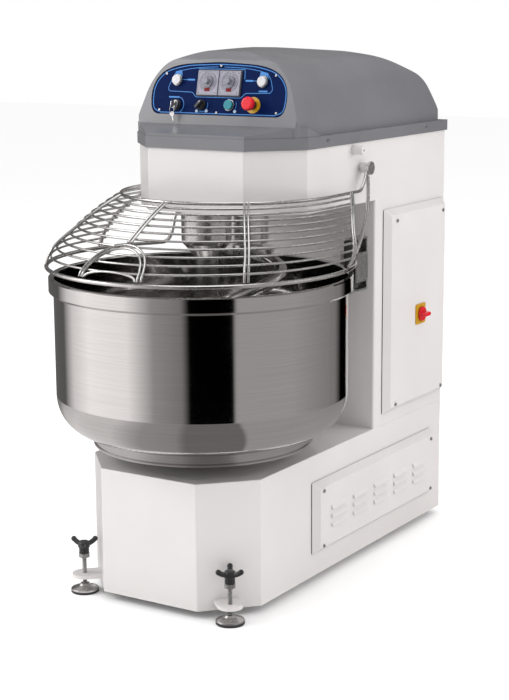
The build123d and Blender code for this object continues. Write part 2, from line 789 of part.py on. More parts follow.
def bezel(at, outer, well, stem):
    with BuildPart() as piece:
        with BuildSketch(panel_plane(0)):
            with Locations(at):
                Circle(outer)
        extrude(amount=6)
        chamfer(piece.faces().sort_by(Axis.Y)[0].edges(), 1.2)
        with BuildSketch(panel_plane(2)):
            with Locations(at):
                Circle(well)
        extrude(amount=6, mode=Mode.SUBTRACT)
        with BuildSketch(panel_plane(-34)):
            with Locations(at):
                Circle(11)
        extrude(amount=36)
        with BuildSketch(panel_plane(-40)):
            with Locations(at):
                Circle(stem)
        extrude(amount=60, mode=Mode.SUBTRACT)
        with BuildSketch(panel_plane(-8)):
            with Locations(at):
                Circle(15)
                Circle(11, mode=Mode.SUBTRACT)
        extrude(amount=5)
    return piece.part


BUTTONS = ((-BUTTON_X, BUTTON_S), (BUTTON_X, BUTTON_S), GREEN_AT)
bezels = [bezel(at, 17.5, 15.2, 6.1) for at in BUTTONS]
save(node("button_bezels", bezels), "button_bezels")


def push_button(at):
    with BuildPart() as piece:
        with BuildSketch(panel_plane(6.5)):
            with Locations(at):
                Circle(14.7)
        extrude(amount=5.5)
        fillet(piece.faces().sort_by(Axis.Y)[0].edges(), 1.6)
        with BuildSketch(panel_plane(6.5)):
            with Locations(at):
                Circle(6)
        extrude(amount=-40)
    return piece.part


save(push_button(BUTTONS[0]), "white_button_left")
save(push_button(BUTTONS[1]), "white_button_right")
save(push_button(BUTTONS[2]), "green_button")

selector_bezel = bezel(SELECTOR_AT, 15, 12.6, 5.1)
key_bezel = bezel(KEY_AT, 16, 13.2, 5.1)

with BuildPart() as speed_selector:
    with BuildSketch(panel_plane(2.4)):
        with Locations(SELECTOR_AT):
            Circle(12.4)
    extrude(amount=8)
    with BuildSketch(panel_plane(10.4)):
        with Locations(SELECTOR_AT):
            SlotOverall(29, 9, rotation=50)
    extrude(amount=13, taper=4)
    with BuildSketch(panel_plane(2.4)):
        with Locations(SELECTOR_AT):
            Circle(5)
    extrude(amount=-36)
save(speed_selector.part, "speed_selector")

with BuildPart() as key_lock:
    with BuildSketch(panel_plane(2.4)):
        with Locations(KEY_AT):
            Circle(13)
    extrude(amount=12)
    chamfer(key_lock.faces().sort_by(Axis.Y)[0].edges(), 1.2)
    with BuildSketch(panel_plane(2.4)):
        with Locations(KEY_AT):
            Circle(5)
    extrude(amount=-36)
    with BuildSketch(panel_plane(4)):
        with Locations(KEY_AT):
            Rectangle(2.4, 9)
    extrude(amount=20, mode=Mode.SUBTRACT)
save(key_lock.part, "key_lock")

with BuildPart() as lock_key:
    with BuildSketch(panel_plane(5)):
        with Locations(KEY_AT):
            Rectangle(2, 8.4)
    extrude(amount=12)
    with BuildSketch(panel_plane(17)):
        with Locations(KEY_AT):
            Rectangle(2, 21)
    extrude(amount=15)
    fillet(lock_key.edges().filter_by(Axis.X).sort_by(Axis.Y)[:2], 6)
save(lock_key.part, "lock_key")

with BuildPart() as emergency_collar:
    with BuildSketch(panel_plane(0)):
        with Locations(STOP_AT):
            Circle(24)
            Circle(13.4, mode=Mode.SUBTRACT)
    extrude(amount=3)
save(node("safety_backplates", [isolator_plate.part, emergency_collar.part]), "safety_backplates")

with BuildPart() as emergency_body:
    with BuildSketch(panel_plane(-34)):
        with Locations(STOP_AT):
            Circle(11)
    extrude(amount=34)
    with BuildSketch(panel_plane(0)):
        with Locations(STOP_AT):
            Circle(13.2)
    extrude(amount=16)
    with BuildSketch(panel_plane(-40)):
        with Locations(STOP_AT):
            Circle(6.1)
    extrude(amount=80, mode=Mode.SUBTRACT)
    with BuildSketch(panel_plane(-8)):
        with Locations(STOP_AT):
            Circle(15)
            Circle(11, mode=Mode.SUBTRACT)
    extrude(amount=5)
save(
    node("switch_bodies", [selector_bezel, key_bezel, emergency_body.part, isolator_body.part]),
    "switch_bodies",
)

with BuildPart() as emergency_stop:
    with BuildSketch(panel_plane(22)):
        with Locations(STOP_AT):
            Circle(20)
    extrude(amount=17)
    fillet(emergency_stop.faces().sort_by(Axis.Y)[0].edges(), 6)
    chamfer(emergency_stop.faces().sort_by(Axis.Y)[-1].edges(), 3)
    with BuildSketch(panel_plane(22)):
        with Locations(STOP_AT):
            Circle(6)
    extrude(amount=-55)
save(emergency_stop.part, "emergency_stop")

lamps = []
for at in LAMPS_AT:
    with BuildPart() as lamp:
        with BuildSketch(panel_plane(-PANEL_SHEET)):
            with Locations(at):
                Circle(4)
        extrude(amount=PANEL_SHEET)
        with BuildSketch(panel_plane(0)):
            with Locations(at):
                Circle(5)
        extrude(amount=3)
        fillet(lamp.faces().sort_by(Axis.Y)[0].edges(), 1.4)
    lamps.append(lamp.part)
save(node("indicator_lamps", lamps), "indicator_lamps")

# ---------------------------------------------------------------- bowl
with BuildPart() as bowl:
    with BuildSketch(Plane((0, BOWL_Y, 0), x_dir=(1, 0, 0), z_dir=(0, -1, 0))):
        flat = BOWL_RADIUS - BOWL_CORNER
        turn = BOWL_FLOOR + BOWL_CORNER
        inner = BOWL_RADIUS - BOWL_WALL
        diagonal = math.sqrt(0.5)
        with BuildLine():
            Line((0, BOWL_FLOOR), (flat, BOWL_FLOOR))
            ThreePointArc(
                (flat, BOWL_FLOOR),
                (flat + BOWL_CORNER * diagonal, turn - BOWL_CORNER * diagonal),
                (BOWL_RADIUS, turn),
            )
            Polyline(
                (BOWL_RADIUS, turn),
                (BOWL_RADIUS, BOWL_RIM - 4),
                (COLLAR_RADIUS - 4, BOWL_RIM - 4),
                (COLLAR_RADIUS - 4, BOWL_RIM - COLLAR_HEIGHT + 8),
                (COLLAR_RADIUS - 10, BOWL_RIM - COLLAR_HEIGHT + 3),
                (COLLAR_RADIUS - 7, BOWL_RIM - COLLAR_HEIGHT),
                (COLLAR_RADIUS, BOWL_RIM - COLLAR_HEIGHT + 7),
                (COLLAR_RADIUS, BOWL_RIM - 3),
                (COLLAR_RADIUS - 3, BOWL_RIM),
                (inner + 3, BOWL_RIM),
                (inner, BOWL_RIM - 3),
                (inner, turn),
            )
            ThreePointArc(
                (inner, turn),
                (flat + (BOWL_CORNER - BOWL_WALL) * diagonal, turn - (BOWL_CORNER - BOWL_WALL) * diagonal),
                (flat, BOWL_FLOOR + BOWL_WALL),
            )
            Polyline((flat, BOWL_FLOOR + BOWL_WALL), (0, BOWL_FLOOR + BOWL_WALL), (0, BOWL_FLOOR))
        make_face()
    revolve(axis=Axis((0, BOWL_Y, 0), (0, 0, 1)))
save(bowl.part, "bowl")

ring_profile = [
    (0, 470),
    (312, 470),
    (312, TURN_BOTTOM),
    (TURN_RADIUS + 4, TURN_BOTTOM),
    (TURN_RADIUS + 4, TURN_BOTTOM + 5),
    (TURN_RADIUS, TURN_BOTTOM + 9),
    (TURN_RADIUS, BOWL_FLOOR),
    (0, BOWL_FLOOR),
]
save(turned(0, BOWL_Y, ring_profile), "bowl_ring")

SHAFT = 30.0  # bowl shaft
shaft_profile = [(0, 160), (26, 160), (26, 266), (SHAFT, 266), (SHAFT, 455), (85, 455), (85, 470), (0, 470)]
save(turned(0, BOWL_Y, shaft_profile), "bowl_shaft")

housing_profile = [
    (38, 290),
    (75, 290),
    (75, BASE_TOP),
    (150, BASE_TOP),
    (150, BASE_TOP + 12),
    (86, BASE_TOP + 12),
    (80, BASE_TOP + 20),
    (80, 450),
    (36, 450),
    (36, 444),
    (55, 444),
    (55, 296),
    (38, 296),
]
save(turned(0, BOWL_Y, housing_profile), "bowl_bearing_housing")

SPIRAL_SHAFT = 27.5
bearings = []
for y, bore, outside, low, high in (
    (BOWL_Y, SHAFT, 54.95, 296, 443),
    (SPIRAL_Y, SPIRAL_SHAFT, 49.95, 1024, 1215),
):
    bearings.append(tube(0, y, outside, bore + RUNNING, low, low + 30))
    bearings.append(tube(0, y, outside, outside - 5, low + 30, high - 30))
    bearings.append(tube(0, y, outside, bore + RUNNING, high - 30, high))
save(node("shaft_bearings", bearings), "shaft_bearings")


def flat_pulley(y, radius, bore, hub, low, high, holes):
    with BuildPart() as piece:
        add(tube(0, y, radius, max(radius - 22, hub), low, high))
        add(tube(0, y, radius + 8, radius - 4, low, low + 4))
        add(tube(0, y, radius + 8, radius - 4, high - 4, high))
        add(tube(0, y, hub, bore, low, high))
        if holes:
            with BuildSketch(Plane((0, y, (low + high) / 2 - 6))):
                Circle(radius - 20)
                Circle(hub - 2, mode=Mode.SUBTRACT)
                with PolarLocations((radius + hub) / 2 - 10, holes):
                    Circle((radius - hub) / 4, mode=Mode.SUBTRACT)
            extrude(amount=12)
    return piece.part


BELT_LOW, BELT_HIGH = 178.0, 262.0
BOWL_PULLEY, GEAR_PULLEY = 210.0, 70.0
save(flat_pulley(BOWL_Y, BOWL_PULLEY, 26, 46, BELT_LOW, BELT_HIGH, 6), "bowl_pulley")

GEARMOTOR_Y = back(GEARMOTOR_SETBACK)
gear_pulley = flat_pulley(GEARMOTOR_Y, GEAR_PULLEY, 17, 69, BELT_LOW, BELT_HIGH, 0)
gear_shaft = disc(0, GEARMOTOR_Y, 17.5, 165, 330)
save(gear_pulley + gear_shaft, "bowl_motor_pulley")


def belt(y_large, r_large, y_small, r_small, z_low, z_high, thickness):
    """Closed belt round two pulleys, half a millimetre clear of both."""
    with BuildPart() as piece:
        for extra, mode in ((0.5 + thickness, Mode.ADD), (0.5, Mode.SUBTRACT)):
            with BuildSketch(Plane.XY.offset(z_low)):
                with Locations((0, y_large)):
                    Circle(r_large + extra)
                with Locations((0, y_small)):
                    Circle(r_small + extra)
                make_hull()
            extrude(amount=z_high - z_low, mode=mode)
    return piece.part


save(belt(BOWL_Y, BOWL_PULLEY, GEARMOTOR_Y, GEAR_PULLEY, BELT_LOW + 7, BELT_HIGH - 7, 6), "bowl_belt")


def motor_case(y, radius, low, high, fins):
    """Finned motor frame with a terminal box on its left."""
    with BuildPart() as piece:
        with BuildSketch(Plane((0, y, low))):
            Circle(radius - 8)
            with PolarLocations(radius - 8, fins):
                Rectangle(16, 3)
        extrude(amount=high - low)
        with BuildSketch(Plane((0, y, low - 50))):
            Circle(radius)
        extrude(amount=50)
        fillet(piece.faces().sort_by(Axis.Z)[0].edges(), 10)
        with Locations((-radius - 12, y, high - 90)):
            Box(50, 90, 80)
    return piece.part


with BuildPart() as bowl_gearmotor:
    with BuildSketch(Plane((0, GEARMOTOR_Y, 285))):
        RectangleRounded(190, 200, 18)
    extrude(amount=103)
    with BuildSketch(Plane((0, GEARMOTOR_Y, 388))):
        RectangleRounded(250, 196, 8)
    extrude(amount=12)
    with BuildSketch(Plane((0, GEARMOTOR_Y, 275))):
        Circle(48)
    extrude(amount=10)
    with BuildSketch(Plane((0, GEARMOTOR_Y, 400))):
        Circle(74)
        with PolarLocations(76, 28):
            Rectangle(14, 3)
    extrude(amount=190)
    with BuildSketch(Plane((0, GEARMOTOR_Y, 590))):
        Circle(83)
    extrude(amount=50)
    fillet(bowl_gearmotor.faces().sort_by(Axis.Z)[-1].edges(), 10)
    with BuildSketch(Plane((0, GEARMOTOR_Y, 270))):
        Circle(17.5 + RUNNING)
    extrude(amount=65, mode=Mode.SUBTRACT)
save(bowl_gearmotor.part, "bowl_gearmotor")

# ---------------------------------------------------------------- spiral drive
SPIRAL_HOUSING = [
    (40, 1018),
    (65, 1018),
    (65, 1142),
    (115, 1142),
    (115, 1156),
    (76, 1156),
    (70, 1164),
    (70, 1222),
    (32, 1222),
    (32, 1216),
    (50, 1216),
    (50, 1024),
    (40, 1024),
]
save(turned(0, SPIRAL_Y, SPIRAL_HOUSING), "spiral_bearing_housing")

GROOVES = (1249.0, 1265.0, 1281.0, 1297.0)
SPIRAL_PULLEY, MOTOR_PULLEY = 250.0, 45.0


def grooved_rim(y, radius, bore):
    with BuildPart() as piece:
        add(tube(0, y, radius, bore, 1240, 1306))
        for z in GROOVES:
            add(tube(0, y, radius + 1, radius - 10, z - 6.6, z + 6.6), mode=Mode.SUBTRACT)
    return piece.part


with BuildPart() as spiral_pulley:
    add(grooved_rim(SPIRAL_Y, SPIRAL_PULLEY, SPIRAL_PULLEY - 28))
    add(tube(0, SPIRAL_Y, 50, SPIRAL_SHAFT, 1236, 1310))
    with BuildSketch(Plane((0, SPIRAL_Y, 1266))):
        Circle(SPIRAL_PULLEY - 26)
        Circle(48, mode=Mode.SUBTRACT)
        with PolarLocations(136, 5):
            Circle(48, mode=Mode.SUBTRACT)
    extrude(amount=14)
save(spiral_pulley.part, "spiral_pulley")

spiral_shaft_profile = [
    (0, 1004),
    (46, 1004),
    (46, 1012),
    (SPIRAL_SHAFT, 1012),
    (SPIRAL_SHAFT, 1318),
    (0, 1318),
]
save(turned(0, SPIRAL_Y, spiral_shaft_profile), "spiral_shaft")

MOTOR_Y = back(MOTOR_SETBACK)
with BuildPart() as motor_pulley:
    add(grooved_rim(MOTOR_Y, MOTOR_PULLEY, 18.9))
    add(disc(0, MOTOR_Y, 19, 1125, 1312))
save(motor_pulley.part, "motor_pulley")

belts = []
for z in GROOVES:
    belts.append(belt(SPIRAL_Y, SPIRAL_PULLEY - 10, MOTOR_Y, MOTOR_PULLEY - 10, z - 6, z + 6, 10))
save(node("spiral_belts", belts), "spiral_belts")

with BuildPart() as spiral_motor:
    add(motor_case(MOTOR_Y, 105, 760, 1130, 36))
    with BuildSketch(Plane((0, MOTOR_Y, 1130))):
        Circle(110)
    extrude(amount=20)
    with BuildSketch(Plane((0, MOTOR_Y, 1120))):
        Circle(19 + RUNNING)
    extrude(amount=40, mode=Mode.SUBTRACT)
save(spiral_motor.part, "spiral_motor")

# ---------------------------------------------------------------- spiral and breaker bar
SPIRAL_ROD, SPIRAL_RADIUS = 20.0, 115.0
HELIX_TOP, HELIX_BOTTOM, HELIX_TURN = 922.0, 540.0, 480.0


def spiral_point(radius, degrees, z):
    angle = math.radians(degrees)
    return (radius * math.cos(angle), SPIRAL_Y + radius * math.sin(angle), z)


spiral_path = [spiral_point(40, 118, 982), spiral_point(70, 62, 962), spiral_point(100, 26, 940)]
for i in range(13):
    part_way = i / 12
    radius = SPIRAL_RADIUS - 18 * part_way**6
    z = HELIX_TOP + (HELIX_BOTTOM - HELIX_TOP) * part_way
    spiral_path.append(spiral_point(radius, -HELIX_TURN * part_way, z))
with BuildPart() as spiral_tool:
    add(curved_rod(spiral_path, SPIRAL_ROD))
    add(disc(0, SPIRAL_Y, 82.5, 988, 1004))
    fillet(spiral_tool.faces().sort_by(Axis.Z)[-1].edges(), 3)
save(spiral_tool.part, "spiral_tool")

BREAKER_AT = (-27.0, back(BREAKER_SETBACK))
bar_profile = [(0, 520), (30, 520), (36, 527), (36, 1136), (18, 1136), (18, 1170), (0, 1170)]
cone_profile = [
    (36, 998),
    (41, 1000),
    (60, 1024),
    (71, 1036),
    (75, 1048),
    (75, 1128),
    (88, 1128),
    (88, 1136),
    (36, 1136),
]
with BuildPart() as breaker_nut:
    with BuildSketch(Plane((BREAKER_AT[0], BREAKER_AT[1], 1142))):
        RegularPolygon(29, 6)
        Circle(18, mode=Mode.SUBTRACT)
    extrude(amount=18)
breaker_pieces = [turned(*BREAKER_AT, bar_profile), turned(*BREAKER_AT, cone_profile), breaker_nut.part]
save(node("breaker_bar", breaker_pieces), "breaker_bar")

# ---------------------------------------------------------------- bowl guard
GUARD_Z = 988.0
TOP_RING_RADIUS, TOP_RING_ROD = 335.0, 5.0
WIRE, RIB = 3.25, 3.5
GUARD_RISE, GUARD_RUN = 164.0, 276.0
WIRE_COUNT = 10
SIDE_RIB_FOOT, SIDE_RIB_HEAD = 403.0, 587.0


def guard_radius(s):
    return 444.0 - 109.0 * max(s, 0) ** 1.4


def guard_height(s):
    return 1018.0 + GUARD_RISE * (1.3 * s - 0.3 * s * s)


def guard_centre(s):
    """Depth behind the base's front of the wire's centre; s runs from the lowest wire to the top ring."""
    return -148.0 + GUARD_RUN * s + guard_radius(s)


def side_rib_depth(s):
    return SIDE_RIB_FOOT + (SIDE_RIB_HEAD - SIDE_RIB_FOOT) * s**1.35


def front_rib_angle(s):
    return math.radians(49.5 - 9.75 * (1.35 * s - 0.35 * s * s))


def on_arc(s, angle, lift):
    """Point on a wire, raised off the guard's surface; angle from the front."""
    normal_out, normal_up = 0.55, 0.83
    radius = guard_radius(s) + lift * normal_out
    return (
        radius * math.sin(angle),
        back(guard_centre(s)) - radius * math.cos(angle),
        guard_height(s) + lift * normal_up,
    )


def on_side(s, shift, lift):
    return (guard_radius(s) + lift * 0.8, back(side_rib_depth(s)) + shift, guard_height(s) + lift * 0.6)


BOSS_Y, BOSS_Z = PIVOT
with BuildPart() as boss_keepout:
    with BuildSketch(Plane(origin=(SIDE_X + 1, BOSS_Y, BOSS_Z), z_dir=(1, 0, 0))):
        Circle(16)
    extrude(amount=31)
    with BuildSketch(Plane(origin=(SIDE_X + 32, BOSS_Y, BOSS_Z), z_dir=(1, 0, 0))):
        Circle(20.5)
    extrude(amount=6)

RING = GUARD_ROD / 2
TAIL_ANGLE = math.radians(120)
tail_start = (
    GUARD_RADIUS * math.sin(TAIL_ANGLE),
    BOWL_Y - GUARD_RADIUS * math.cos(TAIL_ANGLE),
    GUARD_Z,
)
tail_run = 82.0
tail_end = (
    tail_start[0] + tail_run * math.cos(TAIL_ANGLE),
    tail_start[1] + tail_run * math.sin(TAIL_ANGLE),
    GUARD_Z,
)


def bent_rod(points, tangents, radius):
    with BuildPart() as piece:
        with BuildLine() as path:
            Spline(*points, tangents=tangents)
        with BuildSketch(Plane(origin=path.line @ 0, z_dir=path.line % 0)):
            Circle(radius)
        sweep()
    return piece.part


riser = [tail_end, (345, back(646), 1050), (340, back(690), 1150), (322, back(716), 1236)]
ring_riser = bent_rod(riser, ((-0.5, 0.866, 0), (-0.35, 0.3, 0.9)), RING) - boss_keepout.part
ring_tail = straight_rod(tail_start, tail_end, RING)

top_side = [
    (TOP_RING_RADIUS, back(guard_centre(1.0)), guard_height(1.0)),
    (TOP_RING_RADIUS, back(638), guard_height(1.0)),
]
top_riser = [top_side[1], (333, back(672), 1198), (325, back(707), 1236)]
top_tail = bent_rod(top_riser, ((0, 1, 0), (-0.25, 0.6, 0.75)), TOP_RING_ROD) - boss_keepout.part
top_straight = straight_rod(top_side[0], top_side[1], TOP_RING_ROD)

frame_rods = arc_rod(BOWL_Y, GUARD_Z, GUARD_RADIUS, -120, 120, 10, RING)
frame_rods += arc_rod(back(guard_centre(1.0)), guard_height(1.0), TOP_RING_RADIUS, -90, 90, 6, TOP_RING_ROD)
for rod in (ring_tail, ring_riser, top_straight, top_tail):
    frame_rods += [rod, mirrored(rod)]
save(node("guard_frame", frame_rods), "guard_frame")

wires = []
for i in range(WIRE_COUNT):
    s = i / WIRE_COUNT
    centre = back(guard_centre(s))
    wires += arc_rod(centre, guard_height(s), guard_radius(s), -90, 90, 6, WIRE)
    run_end = back(side_rib_depth(s)) + 9
    side = straight_rod(
        (guard_radius(s), centre, guard_height(s)), (guard_radius(s), run_end, guard_height(s)), WIRE
    )
    wires += [side, mirrored(side)]
save(node("guard_wires", wires), "guard_wires")

RIB_LIFT = WIRE + RIB + 0.6
PAIR = 5.5
ribs = []
foot_angle = front_rib_angle(0)
for shift in (-PAIR, PAIR):
    foot_y = back(383) + shift
    foot_x = math.sqrt(GUARD_RADIUS**2 - (foot_y - BOWL_Y) ** 2)
    path = [(foot_x, foot_y, GUARD_Z + RING + RIB - 1)]
    path += [on_side(s, shift, RIB_LIFT) for s in (0.0, 0.33, 0.66, 0.97)]
    rib = curved_rod(path, RIB)
    ribs += [rib, mirrored(rib)]
    turn = shift / 440
    foot = (
        GUARD_RADIUS * math.sin(foot_angle + turn),
        BOWL_Y - GUARD_RADIUS * math.cos(foot_angle + turn),
        GUARD_Z + RING + RIB - 1,
    )
    path = [foot]
    for s in (0.0, 0.33, 0.66, 0.97):
        path.append(on_arc(s, front_rib_angle(s) + shift / guard_radius(s), RIB_LIFT))
    rib = curved_rod(path, RIB)
    ribs += [rib, mirrored(rib)]
    centre_path = [on_arc(s, shift / guard_radius(s), RIB_LIFT) for s in (0.33, 0.55, 0.77, 0.97)]
    ribs.append(curved_rod(centre_path, RIB))


def front_surface(x, rise, lift):
    """Point on the front of the guard; rise 0 at the bottom ring and 1 at the fourth wire."""
    s = 0.42 * rise - 0.12
    if s >= 0:
        radius, depth, height = guard_radius(s), guard_centre(s), guard_height(s)
    else:
        blend = rise / (0.12 / 0.42)
        radius = GUARD_RADIUS + (guard_radius(0) - GUARD_RADIUS) * blend
        depth = BOWL_SETBACK + (guard_centre(0) - BOWL_SETBACK) * blend
        height = GUARD_Z + RING + (guard_height(0) - GUARD_Z - RING) * blend
    radius += lift * 0.55
    angle = math.asin(x / radius)
    return (x, back(depth) - radius * math.cos(angle), height + lift * 0.83)


ARCH_HALF = 105.0


def arch_rod(half, rise, start, stop, radius, lift):
    points = []
    for k in range(5):
        angle = math.radians(start + (stop - start) * k / 4)
        points.append(front_surface(half * math.cos(angle), rise * math.sin(angle), lift))
    return curved_rod(points, radius)


for half, rise in ((ARCH_HALF, 1.0), (ARCH_HALF - 11, 0.9)):
    for start in (0, 60, 120):
        ribs.append(arch_rod(half, rise, start, start + 60, RIB, RIB_LIFT))
ribs.append(arch_rod(ARCH_HALF - 18, 0.24, 0, 90, WIRE, RIB_LIFT))
ribs.append(arch_rod(ARCH_HALF - 18, 0.24, 90, 180, WIRE, RIB_LIFT))
save(node("guard_ribs", ribs), "guard_ribs")

PIN = 8.0
bosses = []
pins = []
with BuildPart() as boss:
    with BuildSketch(Plane(origin=(SIDE_X + 1, BOSS_Y, BOSS_Z), z_dir=(1, 0, 0))):
        Circle(16)
    extrude(amount=31)
    with BuildSketch(Plane(origin=(SIDE_X + 32, BOSS_Y, BOSS_Z), z_dir=(1, 0, 0))):
        Circle(20.5)
    extrude(amount=6)
    fillet(boss.faces().sort_by(Axis.X)[-1].edges(), 1.5)
    with BuildSketch(Plane(origin=(SIDE_X, BOSS_Y, BOSS_Z), z_dir=(1, 0, 0))):
        Circle(PIN + RUNNING)
    extrude(amount=30, mode=Mode.SUBTRACT)
save(node("guard_bosses", [boss.part, mirrored(boss.part)]), "guard_bosses")

with BuildPart() as pivot_pin:
    with BuildSketch(Plane(origin=(SIDE_X - 22, BOSS_Y, BOSS_Z), z_dir=(1, 0, 0))):
        Circle(PIN)
    extrude(amount=50)
    with BuildSketch(Plane(origin=(SIDE_X - 16, BOSS_Y, BOSS_Z), z_dir=(1, 0, 0))):
        RectangleRounded(70, 70, 6)
    extrude(amount=12)
with BuildPart() as stop_pin:
    with BuildSketch(Plane(origin=(SIDE_X, STOP[0], STOP[1]), z_dir=(1, 0, 0))):
        Circle(13.5)
    extrude(amount=37)
    fillet(stop_pin.faces().sort_by(Axis.X)[-1].edges(), 2)
    with BuildSketch(Plane(origin=(SIDE_X + 37, STOP[0], STOP[1]), z_dir=(1, 0, 0))):
        Circle(4.25)
    extrude(amount=-14, mode=Mode.SUBTRACT)
    with BuildSketch(Plane(origin=(SIDE_X - 12, STOP[0], STOP[1]), z_dir=(1, 0, 0))):
        Circle(5.1)
    extrude(amount=12)
fixed_pins = [pivot_pin.part, stop_pin.part, mirrored(pivot_pin.part), mirrored(stop_pin.part)]
save(node("guard_pins", fixed_pins), "guard_pins")

# ---------------------------------------------------------------- rim roller
ROLLER_X, ROLLER_SETBACK, ROLLER_RADIUS = 305.0, 651.0, 22.2
ROLLER_LOW, ROLLER_HIGH = 885.0, 1030.0
ROLLER_Y = back(ROLLER_SETBACK)
ROLLER_PIN = 7.0
with BuildPart() as roller_lug:
    with BuildSketch(Plane((ROLLER_X, ROLLER_Y, ROLLER_LOW - 9))):
        Circle(14)
        with Locations((8, 27.5)):
            Rectangle(36, 55)
        Circle(ROLLER_PIN, mode=Mode.SUBTRACT)
    extrude(amount=6)
upper_lug = Pos(0, 0, ROLLER_HIGH + 13 - ROLLER_LOW) * roller_lug.part
roller_pin_profile = [
    (0, 868),
    (11, 868),
    (11, 876),
    (ROLLER_PIN, 876),
    (ROLLER_PIN, 1040),
    (11, 1040),
    (11, 1048),
    (0, 1048),
]
bracket = [
    roller_lug.part,
    upper_lug,
    block(311, 40, back(700), back(706), ROLLER_LOW - 3, ROLLER_HIGH + 4),
    block(333.5, 5, back(632), back(700), 905, 995),
    block(280.5, 21, back(700), back(706), 905, 995),
    block(255, 30, back(700), back(811), 915, 985),
    block(245, 46, back(811), back(817), 892, 1008),
    turned(ROLLER_X, ROLLER_Y, roller_pin_profile),
]
save(node("roller_bracket", bracket), "roller_bracket")
roller_profile = [
    (ROLLER_PIN + RUNNING, ROLLER_LOW),
    (ROLLER_RADIUS - 3, ROLLER_LOW),
    (ROLLER_RADIUS, ROLLER_LOW + 3),
    (ROLLER_RADIUS, ROLLER_HIGH - 3),
    (ROLLER_RADIUS - 3, ROLLER_HIGH),
    (ROLLER_PIN + RUNNING, ROLLER_HIGH),
]
save(turned(ROLLER_X, ROLLER_Y, roller_profile), "rim_roller")

# ---------------------------------------------------------------- jack feet
FOOT_Y = back(FOOT_SETBACK)
pad_profile = [
    (0, 0),
    (41, 0),
    (42, 1),
    (42, 10),
    (40, 12),
    (30, 16),
    (18, 20),
    (13, 26),
    (FOOT_SCREW + 0.1, 26),
    (FOOT_SCREW + 0.1, 10),
    (0, 10),
]
screw_profile = [
    (0, 10.2),
    (FOOT_SCREW, 10.2),
    (FOOT_SCREW, 108),
    (16, 108),
    (16, 120),
    (FOOT_SCREW, 120),
    (FOOT_SCREW, 150),
    (0, 150),
]


hub_profile = [
    (FOOT_SCREW, 120),
    (14, 120),
    (15, 122),
    (15, 136),
    (18, 141),
    (18, 151),
    (14, 157),
    (7, 159),
    (0, 159),
    (0, 150),
    (FOOT_SCREW, 150),
]


def handwheel(x, first_arm):
    with BuildPart() as piece:
        add(turned(x, FOOT_Y, hub_profile))
        for k in range(3):
            angle = math.radians(first_arm + 120 * k)
            dx = math.cos(angle)
            dy = math.sin(angle)
            arm = [
                (x + 9 * dx, FOOT_Y + 9 * dy, 146.5),
                (x + 22 * dx, FOOT_Y + 22 * dy, 149.5),
                (x + 37 * dx, FOOT_Y + 37 * dy, 159),
            ]
            add(curved_rod(arm, 7.5))
            with Locations(arm[2]):
                Sphere(8.2)
    return piece.part


for side, name in ((-1, "left"), (1, "right")):
    x = side * FOOT_X
    save(turned(x, FOOT_Y, pad_profile), "foot_pad_" + name)
    save(turned(x, FOOT_Y, screw_profile), "foot_screw_" + name)
    save(handwheel(x, 122 if side > 0 else 62), "foot_handwheel_" + name)

# ---------------------------------------------------------------- rear wheels
wheel_y = back(WHEEL_SETBACK)
for side, name in ((-1, "left"), (1, "right")):
    with BuildPart() as rear_wheel:
        with BuildSketch(Plane(origin=(side * WHEEL_X, wheel_y, WHEEL_RADIUS), z_dir=(1, 0, 0))):
            Circle(WHEEL_RADIUS)
        extrude(amount=WHEEL_WIDTH / 2, both=True)
        fillet(rear_wheel.edges(), 4)
        with BuildSketch(Plane(origin=(side * WHEEL_X, wheel_y, WHEEL_RADIUS), z_dir=(1, 0, 0))):
            Circle(14)
        extrude(amount=WHEEL_WIDTH / 2 + 2, both=True)
        with BuildSketch(Plane(origin=(side * WHEEL_X, wheel_y, WHEEL_RADIUS), z_dir=(1, 0, 0))):
            Circle(AXLE + RUNNING)
        extrude(amount=40, both=True, mode=Mode.SUBTRACT)
    save(rear_wheel.part, "rear_wheel_" + name)

# ---------------------------------------------------------------- electrical parts
GLAND_X, GLAND_Z = 120.0, 300.0
with BuildPart() as cable_gland:
    with BuildSketch(Plane(origin=(GLAND_X, REAR_Y, GLAND_Z), x_dir=(1, 0, 0), z_dir=(0, 1, 0))):
        RegularPolygon(17, 6)
    extrude(amount=8)
    with BuildSketch(Plane(origin=(GLAND_X, REAR_Y + 8, GLAND_Z), x_dir=(1, 0, 0), z_dir=(0, 1, 0))):
        Circle(15)
    extrude(amount=GLAND_REACH - 8)
    fillet(cable_gland.faces().sort_by(Axis.Y)[-1].edges(), 6)
    with BuildSketch(Plane(origin=(GLAND_X, REAR_Y - 30, GLAND_Z), x_dir=(1, 0, 0), z_dir=(0, 1, 0))):
        Circle(8)
    extrude(amount=80, mode=Mode.SUBTRACT)
save(cable_gland.part, "cable_gland")

GEAR_BACK_X = -SIDE_X + SHEET
with BuildPart() as control_gear:
    with Locations((GEAR_BACK_X + 6, back(900), 860)):
        Box(4, 150, 420)
    for z in (740.0, 850.0, 960.0):
        with Locations((GEAR_BACK_X + 11, back(900), z)):
            Box(7, 145, 35)
        for k in range(3):
            with Locations((GEAR_BACK_X + 48, back(856 + 46 * k), z)):
                Box(72, 42, 78)
            with Locations((GEAR_BACK_X + 88, back(856 + 46 * k), z)):
                Box(10, 28, 40)
    for z in (670.0, 1050.0):
        with Locations((GEAR_BACK_X + 2, back(900), z)):
            Box(4, 30, 14)
save(control_gear.part, "control_gear")
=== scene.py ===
import math

import bmesh
import bpy
from mathutils import Matrix, Vector


